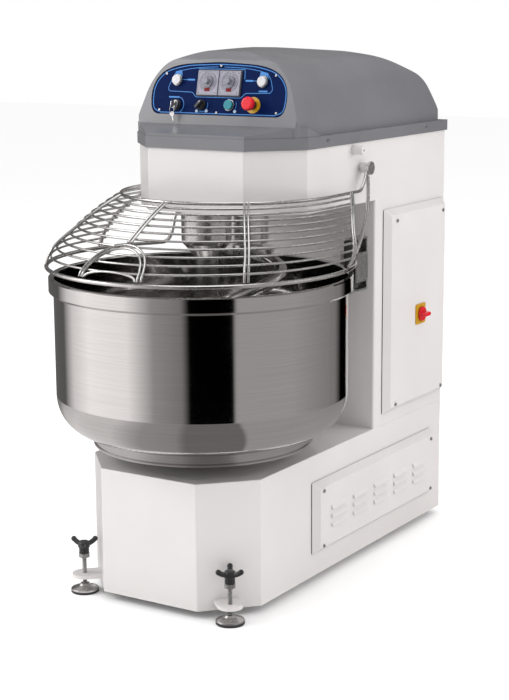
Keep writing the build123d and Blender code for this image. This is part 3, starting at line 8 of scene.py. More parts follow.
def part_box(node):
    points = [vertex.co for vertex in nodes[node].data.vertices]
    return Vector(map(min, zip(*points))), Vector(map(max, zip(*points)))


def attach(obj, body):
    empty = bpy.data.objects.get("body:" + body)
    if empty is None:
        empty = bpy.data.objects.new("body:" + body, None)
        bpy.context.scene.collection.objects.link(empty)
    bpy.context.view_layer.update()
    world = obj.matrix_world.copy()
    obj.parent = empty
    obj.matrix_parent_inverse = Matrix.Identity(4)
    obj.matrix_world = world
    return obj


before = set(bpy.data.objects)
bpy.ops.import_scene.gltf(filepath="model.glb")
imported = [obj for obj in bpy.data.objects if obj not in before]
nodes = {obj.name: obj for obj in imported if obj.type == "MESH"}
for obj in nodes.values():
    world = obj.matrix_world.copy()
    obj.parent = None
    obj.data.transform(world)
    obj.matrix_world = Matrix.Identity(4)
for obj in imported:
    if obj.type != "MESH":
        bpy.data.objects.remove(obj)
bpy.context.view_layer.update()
FRAME = "machine_frame"


def centre(node):
    low, high = (Vector(v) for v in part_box(node))
    return (low + high) / 2


# ---------------------------------------------------------------- camera
CAMERA_PLACE = Vector((2.7262, -4.3129, 1.7245))
CAMERA_AZIMUTH, CAMERA_DOWN, CAMERA_ROLL = 32.286, 11.652, -0.359  # degrees
CAMERA_LENS = 85.49  # mm on a 36 mm sensor


def make_camera():
    azimuth, down, roll = (math.radians(a) for a in (CAMERA_AZIMUTH, CAMERA_DOWN, CAMERA_ROLL))
    back = Vector(
        (math.sin(azimuth) * math.cos(down), -math.cos(azimuth) * math.cos(down), math.sin(down))
    )
    level = Vector((math.cos(azimuth), math.sin(azimuth), 0))
    steep = back.cross(level)
    right = level * math.cos(roll) + steep * math.sin(roll)
    up = steep * math.cos(roll) - level * math.sin(roll)
    data = bpy.data.cameras.new("camera")
    data.lens = CAMERA_LENS
    data.sensor_width = 36
    data.clip_end = 60
    camera = bpy.data.objects.new("camera", data)
    place = Matrix((right, up, back)).transposed().to_4x4()
    place.translation = CAMERA_PLACE
    camera.matrix_world = place
    bpy.context.collection.objects.link(camera)
    bpy.context.scene.camera = camera


make_camera()


# ---------------------------------------------------------------- materials
class Mat:
    """A node material under construction: shader sockets by name, and links by chaining."""

    def __init__(self, name):
        self.mat = bpy.data.materials.new(name)
        self.mat.use_nodes = True
        self.tree = self.mat.node_tree
        self.tree.nodes.clear()
        self.out = self.tree.nodes.new("ShaderNodeOutputMaterial")
        self.shader = self.tree.nodes.new("ShaderNodeBsdfPrincipled")
        self.tree.links.new(self.shader.outputs[0], self.out.inputs[0])
        self.coords = self.tree.nodes.new("ShaderNodeTexCoord").outputs["Object"]

    def set(self, **values):
        for key, value in values.items():
            self.shader.inputs[key.replace("_", " ")].default_value = value
        return self

    def node(self, kind, inputs=None, **props):
        n = self.tree.nodes.new("ShaderNode" + kind)
        for key, value in props.items():
            setattr(n, key, value)
        for key, value in (inputs or {}).items():
            if isinstance(value, bpy.types.NodeSocket):
                self.tree.links.new(value, n.inputs[key])
            else:
                n.inputs[key].default_value = value
        return n

    def link(self, source, socket):
        self.tree.links.new(source, self.shader.inputs[socket])
        return self

    def noise(self, vector, scale, detail=3.0, rough=0.5):
        n = self.node(
            "TexNoise", {"Vector": vector, "Scale": scale, "Detail": detail, "Roughness": rough}
        )
        return n.outputs["Fac"]

    def range(self, value, low, high, start=0.3, end=0.7):
        n = self.node(
            "MapRange",
            {"Value": value, "From Min": start, "From Max": end, "To Min": low, "To Max": high},
        )
        return n.outputs[0]

    def math(self, operation, *values):
        return self.node("Math", dict(enumerate(values)), operation=operation).outputs[0]

    def mix(self, factor, a, b):
        n = self.node("MixRGB", {"Fac": factor, "Color1": a, "Color2": b})
        return n.outputs[0]

    def bump(self, height, strength, distance):
        n = self.node("Bump", {"Height": height, "Strength": strength, "Distance": distance})
        return self.link(n.outputs[0], "Normal")


def tone(colour, factor):
    return tuple(min(1, c * factor) for c in colour[:3]) + (1,)


def srgb(text):
    values = [int(text[i : i + 2], 16) / 255 for i in (0, 2, 4)]
    return tuple(v / 12.92 if v <= 0.04045 else ((v + 0.055) / 1.055) ** 2.4 for v in values) + (1,)


def enamel(name, colour):
    """Stove enamel: faint orange peel, a little uneven in colour, darker in grey-brown specks
    towards the floor.
    """
    m = Mat(name)
    patches = m.noise(m.coords, 3.5, 4)
    paint = m.mix(m.range(patches, 0, 1), tone(colour, 0.97), tone(colour, 1.02))
    height = m.node("SeparateXYZ", {"Vector": m.coords}).outputs["Z"]
    # Darker in grey-brown specks from 16 cm down to 2 cm above the floor.
    grey_mask = m.range(height, 0.35, 0.0, 0.02, 0.16)
    speck = m.noise(m.coords, 90, 5)
    low_grey_specks = m.math("MULTIPLY", grey_mask, speck)
    m.link(m.mix(low_grey_specks, paint, (0.55, 0.52, 0.49, 1)), "Base Color")
    m.link(m.range(m.noise(m.coords, 14, 4), 0.30, 0.40), "Roughness")
    m.bump(m.noise(m.coords, 420, 2), 0.06, 0.0006)
    m.set(Coat_Weight=0.25, Coat_Roughness=0.18)
    return m.mat


def moulding(name, colour):
    """Vacuum-formed plastic with a fine grain."""
    m = Mat(name)
    patches = m.noise(m.coords, 5, 3)
    m.link(m.mix(m.range(patches, 0, 1), tone(colour, 0.94), tone(colour, 1.05)), "Base Color")
    m.link(m.range(m.noise(m.coords, 30, 4), 0.3, 0.38), "Roughness")
    m.bump(m.noise(m.coords, 900, 2), 0.08, 0.0004)
    m.set(Coat_Weight=0.2, Coat_Roughness=0.28)
    return m.mat


def spun_steel(name, colour, rough, middle):
    """Stainless spun about the vertical through middle: fine level lines and soft smudges."""
    m = Mat(name)
    to_middle = (-middle[0], -middle[1], 0)
    flat = m.node("VectorMath", {0: m.coords, 1: to_middle}, operation="ADD").outputs[0]
    parts = m.node("SeparateXYZ", {"Vector": flat})
    around = m.math("ARCTAN2", parts.outputs[1], parts.outputs[0])
    reach = m.node("VectorMath", {0: flat, 1: (1, 1, 0)}, operation="MULTIPLY").outputs[0]
    radius = m.node("VectorMath", {0: reach}, operation="LENGTH").outputs["Value"]
    polar = m.node("CombineXYZ", {"X": around, "Y": radius, "Z": parts.outputs[2]}).outputs[0]
    lines = m.node("Mapping", {"Vector": polar, "Scale": (1.5, 700, 700)}).outputs[0]
    brush = m.noise(lines, 1.0, 4, 0.6)
    smudge = m.noise(m.coords, 6, 4)
    m.link(m.mix(m.range(brush, 0, 1), tone(colour, 0.9), tone(colour, 1.06)), "Base Color")
    both = m.math("ADD", brush, smudge)
    m.link(m.range(both, rough * 0.8, rough * 1.25, 0.7, 1.3), "Roughness")
    m.bump(brush, 0.03, 0.0003)
    m.set(Metallic=1.0)
    return m.mat


def polished(name, colour, rough=0.16):
    """Drawn and polished bar or wire."""
    m = Mat(name)
    smudge = m.noise(m.coords, 22, 4)
    m.link(m.mix(m.range(smudge, 0, 1), tone(colour, 0.9), tone(colour, 1.05)), "Base Color")
    m.link(m.range(m.noise(m.coords, 160, 3), rough * 0.7, rough * 1.5), "Roughness")
    m.bump(m.noise(m.coords, 600, 2), 0.05, 0.0003)
    m.set(Metallic=1.0)
    return m.mat


def plastic(name, colour, rough, grain=0.08, shine=0.5):
    m = Mat(name)
    m.shader.inputs["Specular IOR Level"].default_value = shine
    patches = m.noise(m.coords, 60, 3)
    m.link(m.mix(m.range(patches, 0, 1), tone(colour, 0.92), tone(colour, 1.06)), "Base Color")
    m.link(m.range(m.noise(m.coords, 140, 3), rough * 0.85, rough * 1.2), "Roughness")
    m.bump(m.noise(m.coords, 1500, 2), grain, 0.0003)
    return m.mat


def rubber(name, colour=(0.018, 0.018, 0.02, 1)):
    m = Mat(name)
    grey_mask = m.noise(m.coords, 40, 5)
    m.link(m.mix(m.range(grey_mask, 0, 0.35), colour, (0.09, 0.085, 0.08, 1)), "Base Color")
    m.link(m.range(m.noise(m.coords, 200, 3), 0.5, 0.75), "Roughness")
    m.bump(m.noise(m.coords, 800, 3), 0.2, 0.0004)
    return m.mat


def threaded(name, colour, pitch=0.0022):
    """Zinc-plated rod with a cut thread: a helix of grooves about each rod's own axis."""
    m = Mat(name)
    parts = m.node("SeparateXYZ", {"Vector": m.coords})
    side = m.math("ABSOLUTE", parts.outputs[0])
    axis = centre("foot_screw_right")
    dx = m.math("SUBTRACT", side, axis.x)
    dy = m.math("SUBTRACT", parts.outputs[1], axis.y)
    turn = m.math("ARCTAN2", dy, dx)
    climb = m.math("MULTIPLY", parts.outputs[2], 2 * math.pi / pitch)
    wave = m.math("SINE", m.math("ADD", climb, turn))
    # Colour follows the helix: painted shade darkens the grooves and a painted highlight lightens
    # the crests.
    m.link(m.mix(m.range(wave, 0, 1, -1, 0.4), tone(colour, 0.45), tone(colour, 1.1)), "Base Color")
    m.link(m.range(m.noise(m.coords, 300, 3), 0.22, 0.36), "Roughness")
    m.bump(wave, 0.8, 0.0006)
    m.set(Metallic=1.0)
    return m.mat


def levelling_pad(name, steel, seam):
    """Polished stainless above the seam height, black rubber tread under it."""
    m = Mat(name)
    height = m.node("SeparateXYZ", {"Vector": m.coords}).outputs["Z"]
    upper = m.range(height, 0, 1, seam, seam + 0.0004)
    smudge = m.range(m.noise(m.coords, 60, 4), 0, 1)
    metal = m.mix(smudge, tone(steel, 0.9), tone(steel, 1.05))
    m.link(m.mix(upper, (0.015, 0.015, 0.017, 1), metal), "Base Color")
    m.link(upper, "Metallic")
    m.link(m.range(upper, 0.62, 0.2, 0, 1), "Roughness")
    m.bump(m.noise(m.coords, 500, 3), 0.12, 0.0003)
    return m.mat


def cast(name, colour, rough=0.55, metal=0.0):
    m = Mat(name)
    patches = m.noise(m.coords, 25, 5)
    m.link(m.mix(m.range(patches, 0, 1), tone(colour, 0.8), tone(colour, 1.15)), "Base Color")
    m.link(m.range(m.noise(m.coords, 90, 3), rough * 0.8, rough * 1.2), "Roughness")
    m.bump(m.noise(m.coords, 260, 4), 0.35, 0.0012)
    m.set(Metallic=metal)
    return m.mat


WHITE = srgb("CFCCCB")
enamel_white = enamel("enamel_white", WHITE)
hood_grey = moulding("hood_grey", srgb("6B6B6F"))
STEEL = (0.62, 0.61, 0.60, 1)
bowl_axis = centre("bowl_ring")
spiral_axis = centre("spiral_shaft")
bowl_steel = spun_steel("bowl_steel", STEEL, 0.075, bowl_axis)
ring_steel = spun_steel("ring_steel", tone(STEEL, 0.85), 0.3, bowl_axis)
hub_steel = spun_steel("hub_steel", STEEL, 0.24, spiral_axis)
bar_steel = spun_steel("bar_steel", STEEL, 0.2, centre("breaker_bar"))
wire_steel = polished("wire_steel", (0.66, 0.65, 0.64, 1), 0.2)
tool_steel = polished("tool_steel", (0.62, 0.61, 0.60, 1), 0.17)
zinc = polished("zinc", (0.5, 0.5, 0.5, 1), 0.3)
black_plastic = plastic("black_plastic", (0.018, 0.018, 0.02, 1), 0.38)
black_rubber = rubber("black_rubber")
cast_dark = cast("cast_dark", (0.07, 0.07, 0.075, 1), 0.5)
cast_alloy = cast("cast_alloy", (0.5, 0.5, 0.5, 1), 0.4, 1.0)
motor_paint = cast("motor_paint", (0.05, 0.075, 0.1, 1), 0.45)
panel_blue = plastic("panel_blue", (0.0006, 0.0085, 0.056, 1), 0.5, 0.02, 0.04)
panel_line = plastic("panel_line", (0.06, 0.21, 0.52, 1), 0.45, 0.03, 0.15)
silver_face = plastic("silver_face", (0.25, 0.245, 0.3, 1), 0.3, 0.03)
dial_grey = plastic("dial_grey", (0.19, 0.19, 0.23, 1), 0.3)
window_red = plastic("window_red", (0.16, 0.006, 0.008, 1), 0.12, 0.01)
button_white = plastic("button_white", (0.52, 0.51, 0.53, 1), 0.3, 0.02)
button_teal = plastic("button_teal", (0.002, 0.19, 0.235, 1), 0.25, 0.02)
red_gloss = plastic("red_gloss", (0.6, 0.008, 0.018, 1), 0.22, 0.02)
yellow_gloss = plastic("yellow_gloss", (0.5, 0.27, 0.003, 1), 0.35, 0.03)
lamp_lens = plastic("lamp_lens", (0.33, 0.42, 0.55, 1), 0.15, 0.01)
rod_zinc = threaded("rod_zinc", (0.5, 0.5, 0.5, 1))
pad_steel = levelling_pad("pad_steel", (0.62, 0.61, 0.6, 1), 0.0075)
nickel = polished("nickel", (0.7, 0.69, 0.7, 1), 0.2)
print_dark = plastic("print_dark", (0.03, 0.03, 0.04, 1), 0.45, 0.02)
gear_grey = plastic("gear_grey", (0.2, 0.21, 0.22, 1), 0.5)

LOOKS = {
    enamel_white: "base_housing column_housing head_housing access_panels vent_panels guard_pins",
    hood_grey: "top_cover",
    bowl_steel: "bowl",
    ring_steel: "bowl_ring",
    hub_steel: "spiral_bearing_housing spiral_shaft",
    bar_steel: "breaker_bar",
    tool_steel: "spiral_tool",
    wire_steel: "guard_frame guard_wires guard_ribs guard_bosses",
    zinc: "body_screws bowl_shaft shaft_bearings motor_pulley bowl_motor_pulley roller_bracket "
    "button_bezels key_lock",
    rod_zinc: "foot_screw_left foot_screw_right",
    pad_steel: "foot_pad_left foot_pad_right",
    nickel: "lock_key",
    black_plastic: "switch_bodies speed_selector foot_handwheel_left foot_handwheel_right "
    "cable_gland",
    black_rubber: "panel_gaskets rim_roller bowl_belt spiral_belts rear_wheel_left "
    "rear_wheel_right",
    cast_dark: "bowl_bearing_housing",
    cast_alloy: "bowl_pulley spiral_pulley",
    motor_paint: "spiral_motor bowl_gearmotor",
    panel_blue: "control_panel",
    silver_face: "timers timer_faces",
    dial_grey: "timer_knob_left timer_knob_right",
    window_red: "timer_windows",
    button_white: "white_button_left white_button_right",
    button_teal: "green_button",
    red_gloss: "emergency_stop isolator_handle",
    yellow_gloss: "safety_backplates",
    lamp_lens: "indicator_lamps",
    gear_grey: "control_gear",
}
for material, names in LOOKS.items():
    for name in names.split():
        for material_slot in nodes[name].material_slots:
            material_slot.material = material


# ---------------------------------------------------------------- mesh helpers
MM = 0.001


def piece(name, bm, material, body):
    """Turns a bmesh into a shown object that rides on a body."""
    bmesh.ops.recalc_face_normals(bm, faces=bm.faces)
    mesh = bpy.data.meshes.new(name)
    bm.to_mesh(mesh)
    bm.free()
    mesh.materials.append(material)
    obj = bpy.data.objects.new(name, mesh)
    bpy.context.collection.objects.link(obj)
    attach(obj, body)
    return obj


def rounded(points, radius, closed=False, steps=5):
    """The same run of points with its corners turned into small curves."""
    points = [Vector(p) for p in points]
    out = []
    count = len(points)
    for i, point in enumerate(points):
        if not closed and i in (0, count - 1):
            out.append(point)
            continue
        before, after = points[i - 1], points[(i + 1) % count]
        reach = min(radius, (before - point).length / 2.1, (after - point).length / 2.1)
        start = point + (before - point).normalized() * reach
        end = point + (after - point).normalized() * reach
        for k in range(steps + 1):
            t = k / steps
            out.append(start * (1 - t) ** 2 + point * 2 * t * (1 - t) + end * t**2)
    return out


def strip(bm, points, width, low, high, place, closed=False):
    """Flat raised line of constant width along points, in the plane that place maps from."""
    rings = []
    count = len(points)
    for i, point in enumerate(points):
        if closed:
            before, after = points[i - 1], points[(i + 1) % count]
        else:
            before, after = points[max(i - 1, 0)], points[min(i + 1, count - 1)]
        run = (after - before).normalized()
        side = Vector((-run.y, run.x)) * width / 2
        left, right = point - side, point + side
        corners = [(left, low), (left, high), (right, high), (right, low)]
        rings.append([bm.verts.new(place(p.x, p.y, h)) for p, h in corners])
    pairs = list(zip(rings, rings[1:] + rings[:1])) if closed else list(zip(rings, rings[1:]))
    for a, b in pairs:
        for k in range(4):
            bm.faces.new((a[k], a[(k + 1) % 4], b[(k + 1) % 4], b[k]))
    if not closed:
        bm.faces.new(rings[0])
        bm.faces.new(rings[-1])


def plate(bm, points, low, high, place):
    """Raised flat patch with that outline."""
    bottom = [bm.verts.new(place(p.x, p.y, low)) for p in points]
    top = [bm.verts.new(place(p.x, p.y, high)) for p in points]
    bm.faces.new(top)
    bm.faces.new(bottom)
    for i in range(len(points)):
        j = (i + 1) % len(points)
        bm.faces.new((bottom[i], bottom[j], top[j], top[i]))


def round_bar(bm, points, radius, sides=10, closed=False):
    """Round bar along points in space."""
    rings = []
    count = len(points)
    normal = None
    for i, point in enumerate(points):
        if closed:
            run = (points[(i + 1) % count] - points[i - 1]).normalized()
        else:
            run = (points[min(i + 1, count - 1)] - points[max(i - 1, 0)]).normalized()
        if normal is None:
            normal = run.orthogonal().normalized()
        normal = (normal - run * normal.dot(run)).normalized()
        across = run.cross(normal)
        ring = []
        for k in range(sides):
            a = 2 * math.pi * k / sides
            outward = normal * math.cos(a) + across * math.sin(a)
            ring.append(bm.verts.new(point + outward * radius))
        rings.append(ring)
    pairs = list(zip(rings, rings[1:] + rings[:1])) if closed else list(zip(rings, rings[1:]))
    for a, b in pairs:
        for k in range(sides):
            bm.faces.new((a[k], a[(k + 1) % sides], b[(k + 1) % sides], b[k]))
    if not closed:
        bm.faces.new(rings[0])
        bm.faces.new(rings[-1])


def smooth(obj):
    for polygon in obj.data.polygons:
        polygon.use_smooth = True


# ---------------------------------------------------------------- control panel print and dials
TILT = math.radians(12.5)
panel_low = Vector(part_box("control_panel")[0])
PANEL_ORIGIN = Vector((0, panel_low.y, panel_low.z + 3 * MM * math.sin(TILT)))
PANEL_UP = Vector((0, math.sin(TILT), math.cos(TILT)))
PANEL_OUT = Vector((0, -math.cos(TILT), math.sin(TILT)))


def on_panel(x, up, proud):
    """Point in space from millimetres across, up and out of the control panel."""
    return PANEL_ORIGIN + Vector((x, 0, 0)) * MM + PANEL_UP * up * MM + PANEL_OUT * proud * MM


def catmull(points, steps=4):
    """Smooth run through the points."""
    out = []
    for i in range(len(points) - 1):
        a, b = points[max(i - 1, 0)], points[i]
        c, d = points[i + 1], points[min(i + 2, len(points) - 1)]
        for k in range(steps):
            t = k / steps
            squared = (2 * a - 5 * b + 4 * c - d) * t**2
            cubed = (3 * b - a - 3 * c + d) * t**3
            out.append(0.5 * (2 * b + (c - a) * t + squared + cubed))
    out.append(points[-1])
    return out


def ring_points(x, up, radius, start, stop, steps):
    """Points on a circle of the panel, between two angles in degrees."""
    out = []
    for k in range(steps + 1):
        a = math.radians(start + (stop - start) * k / steps)
        out.append(Vector((x + radius * math.cos(a), up + radius * math.sin(a))))
    return out


TIMER_X, TIMER_DIAL_UP, TIMER_MIDDLE_UP = 38, 99, 95  # mm on the panel
KEY_X, KEY_UP = -145, 28
SELECTOR_X, SELECTOR_UP = -56, 30
GREEN_X, GREEN_UP = 43, 31


def control_panel_print():
    """Printed outline, frames, pads and leader lines of the panel, a hair proud of it."""
    bm = bmesh.new()
    low, high = -0.2, 0.25
    edge = [(200, 5), (224, 15), (231.5, 37), (231, 74), (220.5, 99), (203.5, 117.5)]
    edge += [(178, 132), (121, 145), (61.5, 149), (0, 151)]
    half = catmull([Vector(p) for p in edge])
    loop = half + [Vector((-p.x, p.y)) for p in reversed(half[:-1])]
    strip(bm, loop, 2.6, low, high, on_panel, closed=True)
    second = [(-141, 131), (-105, 137), (-60, 141.5), (0, 143.5), (60, 142), (105, 138), (141, 132)]
    second = [Vector(p) for p in second]
    for part in (second[:4], second[3:]):
        run = catmull(part)
        run = [p for p in run if abs(p.x) > 7]
        strip(bm, run, 1.8, low, high, on_panel)
    frame_run = [(-160, 127), (-169, 108), (-182, 79), (-178, 69), (-92, 67), (-81, 53)]
    frame_run += [(80, 53), (92, 67), (178, 69), (185, 79), (176, 108), (161, 128)]
    strip(bm, rounded(frame_run, 8), 2.0, low, high, on_panel)
    for side in (-1, 1):
        tab = [(139, 133), (160, 128), (170, 108), (167.5, 111)]
        tab += [(159, 119), (150, 120.5), (141, 118.5), (135, 113)]
        plate(bm, [Vector((side * x, y)) for x, y in tab], low, high, on_panel)
        strip(bm, [Vector((side * x, 104)) for x in (88, 131)], 1.6, low, high, on_panel)
        bar = [(90, 101.5), (114, 101.5), (116, 104), (114, 106.5), (90, 106.5)]
        plate(bm, [Vector((side * x, y)) for x, y in bar], low, high + 0.05, on_panel)
    pads = (
        [(138, 71.5), (168, 71.5), (168, 76.5), (138, 76.5)],
        [(-176, 49), (-138, 49), (-138, 53.5), (-176, 53.5)],
    )
    for pad in pads:
        plate(bm, rounded(pad, 2, True), low, high, on_panel)
    top_line = [(-79, 137), (84, 137), (86, 108)]
    strip(bm, rounded(top_line, 3), 2.0, low, high, on_panel)
    key_run = [Vector((-140, 51))] + ring_points(KEY_X, KEY_UP, 25.5, 55, -62, 14)
    strip(bm, key_run, 2.0, low, high, on_panel)
    selector_run = ring_points(SELECTOR_X, SELECTOR_UP, 22, 20, -28, 6) + [Vector((-36, 13))]
    lamp_run = [Vector((-64, 11)), Vector((-42, 11))]
    green_run = ring_points(GREEN_X, GREEN_UP, 23, 25, -30, 6) + [Vector((64, 14))]
    for run in (selector_run, lamp_run, green_run):
        strip(bm, run, 1.8, low, high, on_panel)
    piece("panel_print", bm, panel_line, FRAME)


def stroke(x, up, angle, inner, outer):
    """Radial stroke on the panel, as its two end points."""
    run = Vector((math.cos(angle), math.sin(angle)))
    return [Vector((x, up)) + run * inner, Vector((x, up)) + run * outer]


def timer_scales():
    """Rings, minute strokes and a dark surround on the two timers."""
    bm = bmesh.new()
    face, face_print = 6.3, 6.75  # mm proud of the panel
    for x in (-TIMER_X, TIMER_X):
        for k in range(60):
            inner, width = (20.2, 0.9) if k % 5 == 0 else (22.6, 0.45)
            run = stroke(x, TIMER_DIAL_UP, math.radians(k * 6), inner, 25.2)
            if run[0].y < 81.5 and abs(run[0].x - x) < 11:
                continue
            strip(bm, run, width, face, face_print, on_panel)
        disc_edge = ring_points(x, TIMER_DIAL_UP, 29.5, -62, 242, 40)
        strip(bm, disc_edge, 0.7, face, face_print, on_panel)
        for across, up in ((29, 29), (-29, 29), (-29, -29), (29, -29)):
            screw = ring_points(x + across, TIMER_MIDDLE_UP + up, 1.5, 0, 330, 11)
            plate(bm, screw, face, 6.7, on_panel)
    piece("timer_scales", bm, print_dark, FRAME)
    bm = bmesh.new()
    surround = [(-76.5, 57), (76.5, 57), (76.5, 133), (-76.5, 133)]
    strip(bm, rounded(surround, 2.5, True, 3), 2.6, -0.2, 2.6, on_panel, closed=True)
    piece("timer_surround", bm, print_dark, FRAME)


def dial_marks():
    """Grip strokes on each timer dial, and a white pointer on the selector."""
    for x, side in ((-TIMER_X, "left"), (TIMER_X, "right")):
        bm = bmesh.new()
        for k in range(24):
            run = stroke(x, TIMER_DIAL_UP, math.radians(15 * k), 14.8, 17.2)
            strip(bm, run, 0.8, 10.6, 11.1, on_panel)
        piece("dial_grip_" + side, bm, print_dark, "timer_dial_" + side)
    bm = bmesh.new()
    run = stroke(SELECTOR_X, SELECTOR_UP, math.radians(50), 5, 13)
    strip(bm, run, 1.6, 23.2, 23.7, on_panel)
    piece("selector_mark", bm, button_white, "selector")


def spare_key():
    """Split ring through the lock's key, with a second key hanging from it."""
    bm = bmesh.new()
    middle = on_panel(KEY_X, KEY_UP, 27) + Vector((0, 0, -0.0175))
    for lift in (-0.00045, 0.00045):
        loop = []
        for k in range(28):
            a = 2 * math.pi * k / 28
            loop.append(middle + Vector((lift, 0.011 * math.cos(a), 0.011 * math.sin(a))))
        round_bar(bm, loop, 0.0006, 8, closed=True)
    ring = piece("key_split_ring", bm, nickel, "key_switch")
    smooth(ring)
    bm = bmesh.new()
    top = middle + Vector((0, 0, -0.0105))
    slant = 0.22  # radians off the vertical
    lean = Vector((math.sin(slant), 0, -math.cos(slant)))
    wide = Vector((math.cos(slant), 0, math.sin(slant)))
    deep = Vector((0, 1, 0))
    outline = [(-7, -2), (-8, 3), (-6, 8), (-2.6, 10.5), (-2.6, 25), (0, 27), (2.4, 25)]
    outline += [(1.2, 22.5), (2.6, 20), (1.4, 17.5), (2.6, 15), (2.6, 10.5), (6, 8), (8, 3)]
    outline += [(7, -2), (3, -4), (-3, -4)]

    def hung(x, down, out):
        return top + wide * x * MM + lean * down * 0.9 * MM + deep * out * MM

    plate(bm, [Vector(p) for p in outline], -0.9, 0.9, hung)
    piece("spare_key", bm, nickel, "key_switch")


control_panel_print()
timer_scales()
dial_marks()
spare_key()


# ---------------------------------------------------------------- light and floor
WALL_RADIUS, WALL_HEIGHT = 2.4, 2.3
# brightness of the studio flats by bearing about the bowl, 0 to the front and 90 to the right:
# bright bank on the left, dim middle, a black gap, a grey bank on the right, dark behind
FLATS = (
    (-180, 0.1),
    (-90, 0.1),
    (-75, 0.7),
    (-55, 1.0),
    (-20, 0.9),
    (0, 0.3),
    (20, 0.2),
    (25, 0.0),
    (55, 0.0),
    (57, 0.35),
    (100, 0.35),
    (150, 0.2),
    (160, 0.0),
)


def area(name, location, target, width, tall, watts, colour=(1, 1, 1)):
    data = bpy.data.lights.new(name, "AREA")
    data.shape = "RECTANGLE"
    data.size, data.size_y = width, tall
    data.energy = watts
    data.color = colour
    obj = bpy.data.objects.new(name, data)
    obj.location = location
    obj.rotation_mode = "QUATERNION"
    obj.rotation_quaternion = (Vector(target) - Vector(location)).to_track_quat("-Z", "Y")
    bpy.context.collection.objects.link(obj)
    return obj


def reflection_ring(name, inner_radius, outer_radius, height):
    """Flat ring about the bowl's axis, used as a painted reflection."""
    sides = 72
    bm = bmesh.new()
    inner, outer = [], []
    for k in range(sides):
        a = 2 * math.pi * k / sides
        for verts, radius in ((inner, inner_radius), (outer, outer_radius)):
            verts.append(bm.verts.new((radius * math.cos(a), radius * math.sin(a), 0)))
    for k in range(sides):
        j = (k + 1) % sides
        bm.faces.new((inner[k], outer[k], outer[j], inner[j]))
    mesh = bpy.data.meshes.new(name)
    bm.to_mesh(mesh)
    bm.free()
    ring = bpy.data.objects.new(name, mesh)
    ring.location = (bowl_axis.x, bowl_axis.y, height)
    bpy.context.collection.objects.link(ring)
    return ring


def flat_colour(level):
    return (level, level * 0.96, level * 0.955, 1)


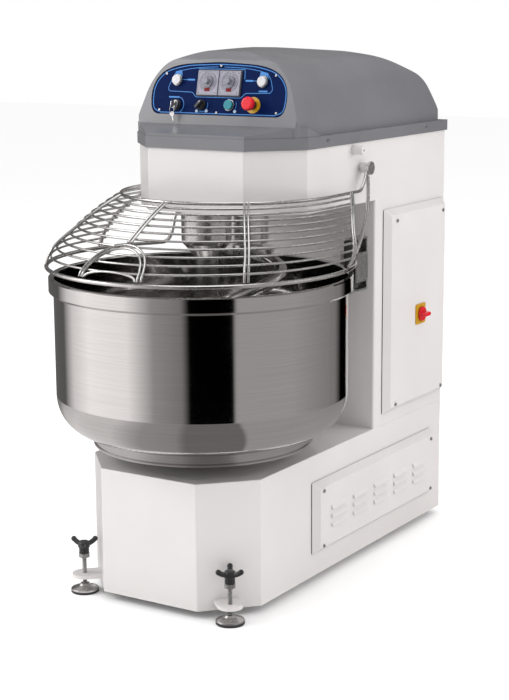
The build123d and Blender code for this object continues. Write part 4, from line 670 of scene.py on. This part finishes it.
def studio_wall():
    """Round wall of studio flats that only shiny surfaces see: light and dark by bearing."""
    bpy.ops.mesh.primitive_cylinder_add(
        vertices=96, radius=WALL_RADIUS, depth=WALL_HEIGHT, end_fill_type="NOTHING"
    )
    wall = bpy.context.object
    wall.name = "studio_wall"
    wall.location = (bowl_axis.x, bowl_axis.y, 1.1)
    mat = bpy.data.materials.new("studio_flats")
    mat.use_nodes = True
    tree = mat.node_tree
    tree.nodes.clear()
    kinds = "TexCoord SeparateXYZ Math Math MapRange ValToRGB Emission OutputMaterial"
    coords, parts, flip, turn, share, ramp, glow, out = (
        tree.nodes.new("ShaderNode" + kind) for kind in kinds.split()
    )
    flip.operation = "MULTIPLY"
    flip.inputs[1].default_value = -1
    turn.operation = "ARCTAN2"
    share.inputs["From Min"].default_value = -math.pi
    share.inputs["From Max"].default_value = math.pi
    glow.inputs[1].default_value = 1.3
    links = (
        (coords.outputs["Object"], parts.inputs[0]),
        (parts.outputs[1], flip.inputs[0]),
        (parts.outputs[0], turn.inputs[0]),
        (flip.outputs[0], turn.inputs[1]),
        (turn.outputs[0], share.inputs[0]),
        (share.outputs[0], ramp.inputs[0]),
        (ramp.outputs[0], glow.inputs[0]),
        (glow.outputs[0], out.inputs[0]),
    )
    for source, socket in links:
        tree.links.new(source, socket)
    stops = ramp.color_ramp.elements
    while len(stops) < len(FLATS):
        stops.new(0.5)
    for stop, (bearing, level) in zip(stops, FLATS):
        stop.position = (bearing + 180) / 360
        stop.color = flat_colour(level)
    # The deck and floor rings are painted reflections: dimmer copies of the flats that only shiny
    # parts see, in place of the white base deck and floor.
    low_reflection_mat = mat.copy()
    low_reflection_mat.name = "painted_low_reflection"
    for stop in low_reflection_mat.node_tree.nodes[ramp.name].color_ramp.elements:
        stop.color = flat_colour(0.15 + 0.5 * stop.color[0])
    deck_reflection = reflection_ring("painted_low_reflection", 0.34, 0.98, 0.408)
    floor_reflection = reflection_ring("painted_floor_reflection", 0.34, WALL_RADIUS, 0.006)
    for flat, look in ((wall, mat), (deck_reflection, low_reflection_mat), (floor_reflection, low_reflection_mat)):
        flat.data.materials.append(look)
        flat.visible_camera = False
        flat.visible_diffuse = False
        flat.visible_shadow = False
        flat.visible_transmission = False


def studio():
    """White paper floor and backdrop, three area lights and the flats."""
    scene = bpy.context.scene
    scene.view_settings.view_transform = "Standard"
    world = bpy.data.worlds.new("studio")
    scene.world = world
    world.use_nodes = True
    tree = world.node_tree
    sky = tree.nodes["Background"]
    path = tree.nodes.new("ShaderNodeLightPath")
    shine = tree.nodes.new("ShaderNodeMix")
    shine.inputs["A"].default_value = 1.0
    shine.inputs["B"].default_value = 0.34
    seen = tree.nodes.new("ShaderNodeMix")
    seen.inputs["B"].default_value = 1.0
    tree.links.new(path.outputs["Is Glossy Ray"], shine.inputs["Factor"])
    tree.links.new(path.outputs["Is Camera Ray"], seen.inputs["Factor"])
    tree.links.new(shine.outputs[0], seen.inputs["A"])
    tree.links.new(seen.outputs[0], sky.inputs[1])
    sky.inputs[0].default_value = (1, 1, 1, 1)
    bpy.ops.mesh.primitive_plane_add(size=40)
    floor = bpy.context.object
    floor.name = "floor"
    m = Mat("floor_paper")
    grain = m.noise(m.coords, 30, 4)
    paper = m.mix(m.range(grain, 0, 1), (0.955, 0.955, 0.955, 1), (0.975, 0.975, 0.975, 1))
    m.link(paper, "Base Color")
    m.set(Roughness=0.8, Emission_Color=(1, 1, 1, 1), Emission_Strength=0.06)
    floor.data.materials.append(m.mat)
    area("key", (-4.0, -2.9, 3.2), (0, -0.1, 0.9), 2.4, 2.6, 150)
    area("fill", (4.3, 1.9, 2.4), (0, 0, 0.9), 2.4, 2.6, 72, (1, 0.955, 0.95))
    area("top", (0.2, -0.4, 4.8), (0, 0, 0), 3.0, 3.0, 50)
    studio_wall()


studio()
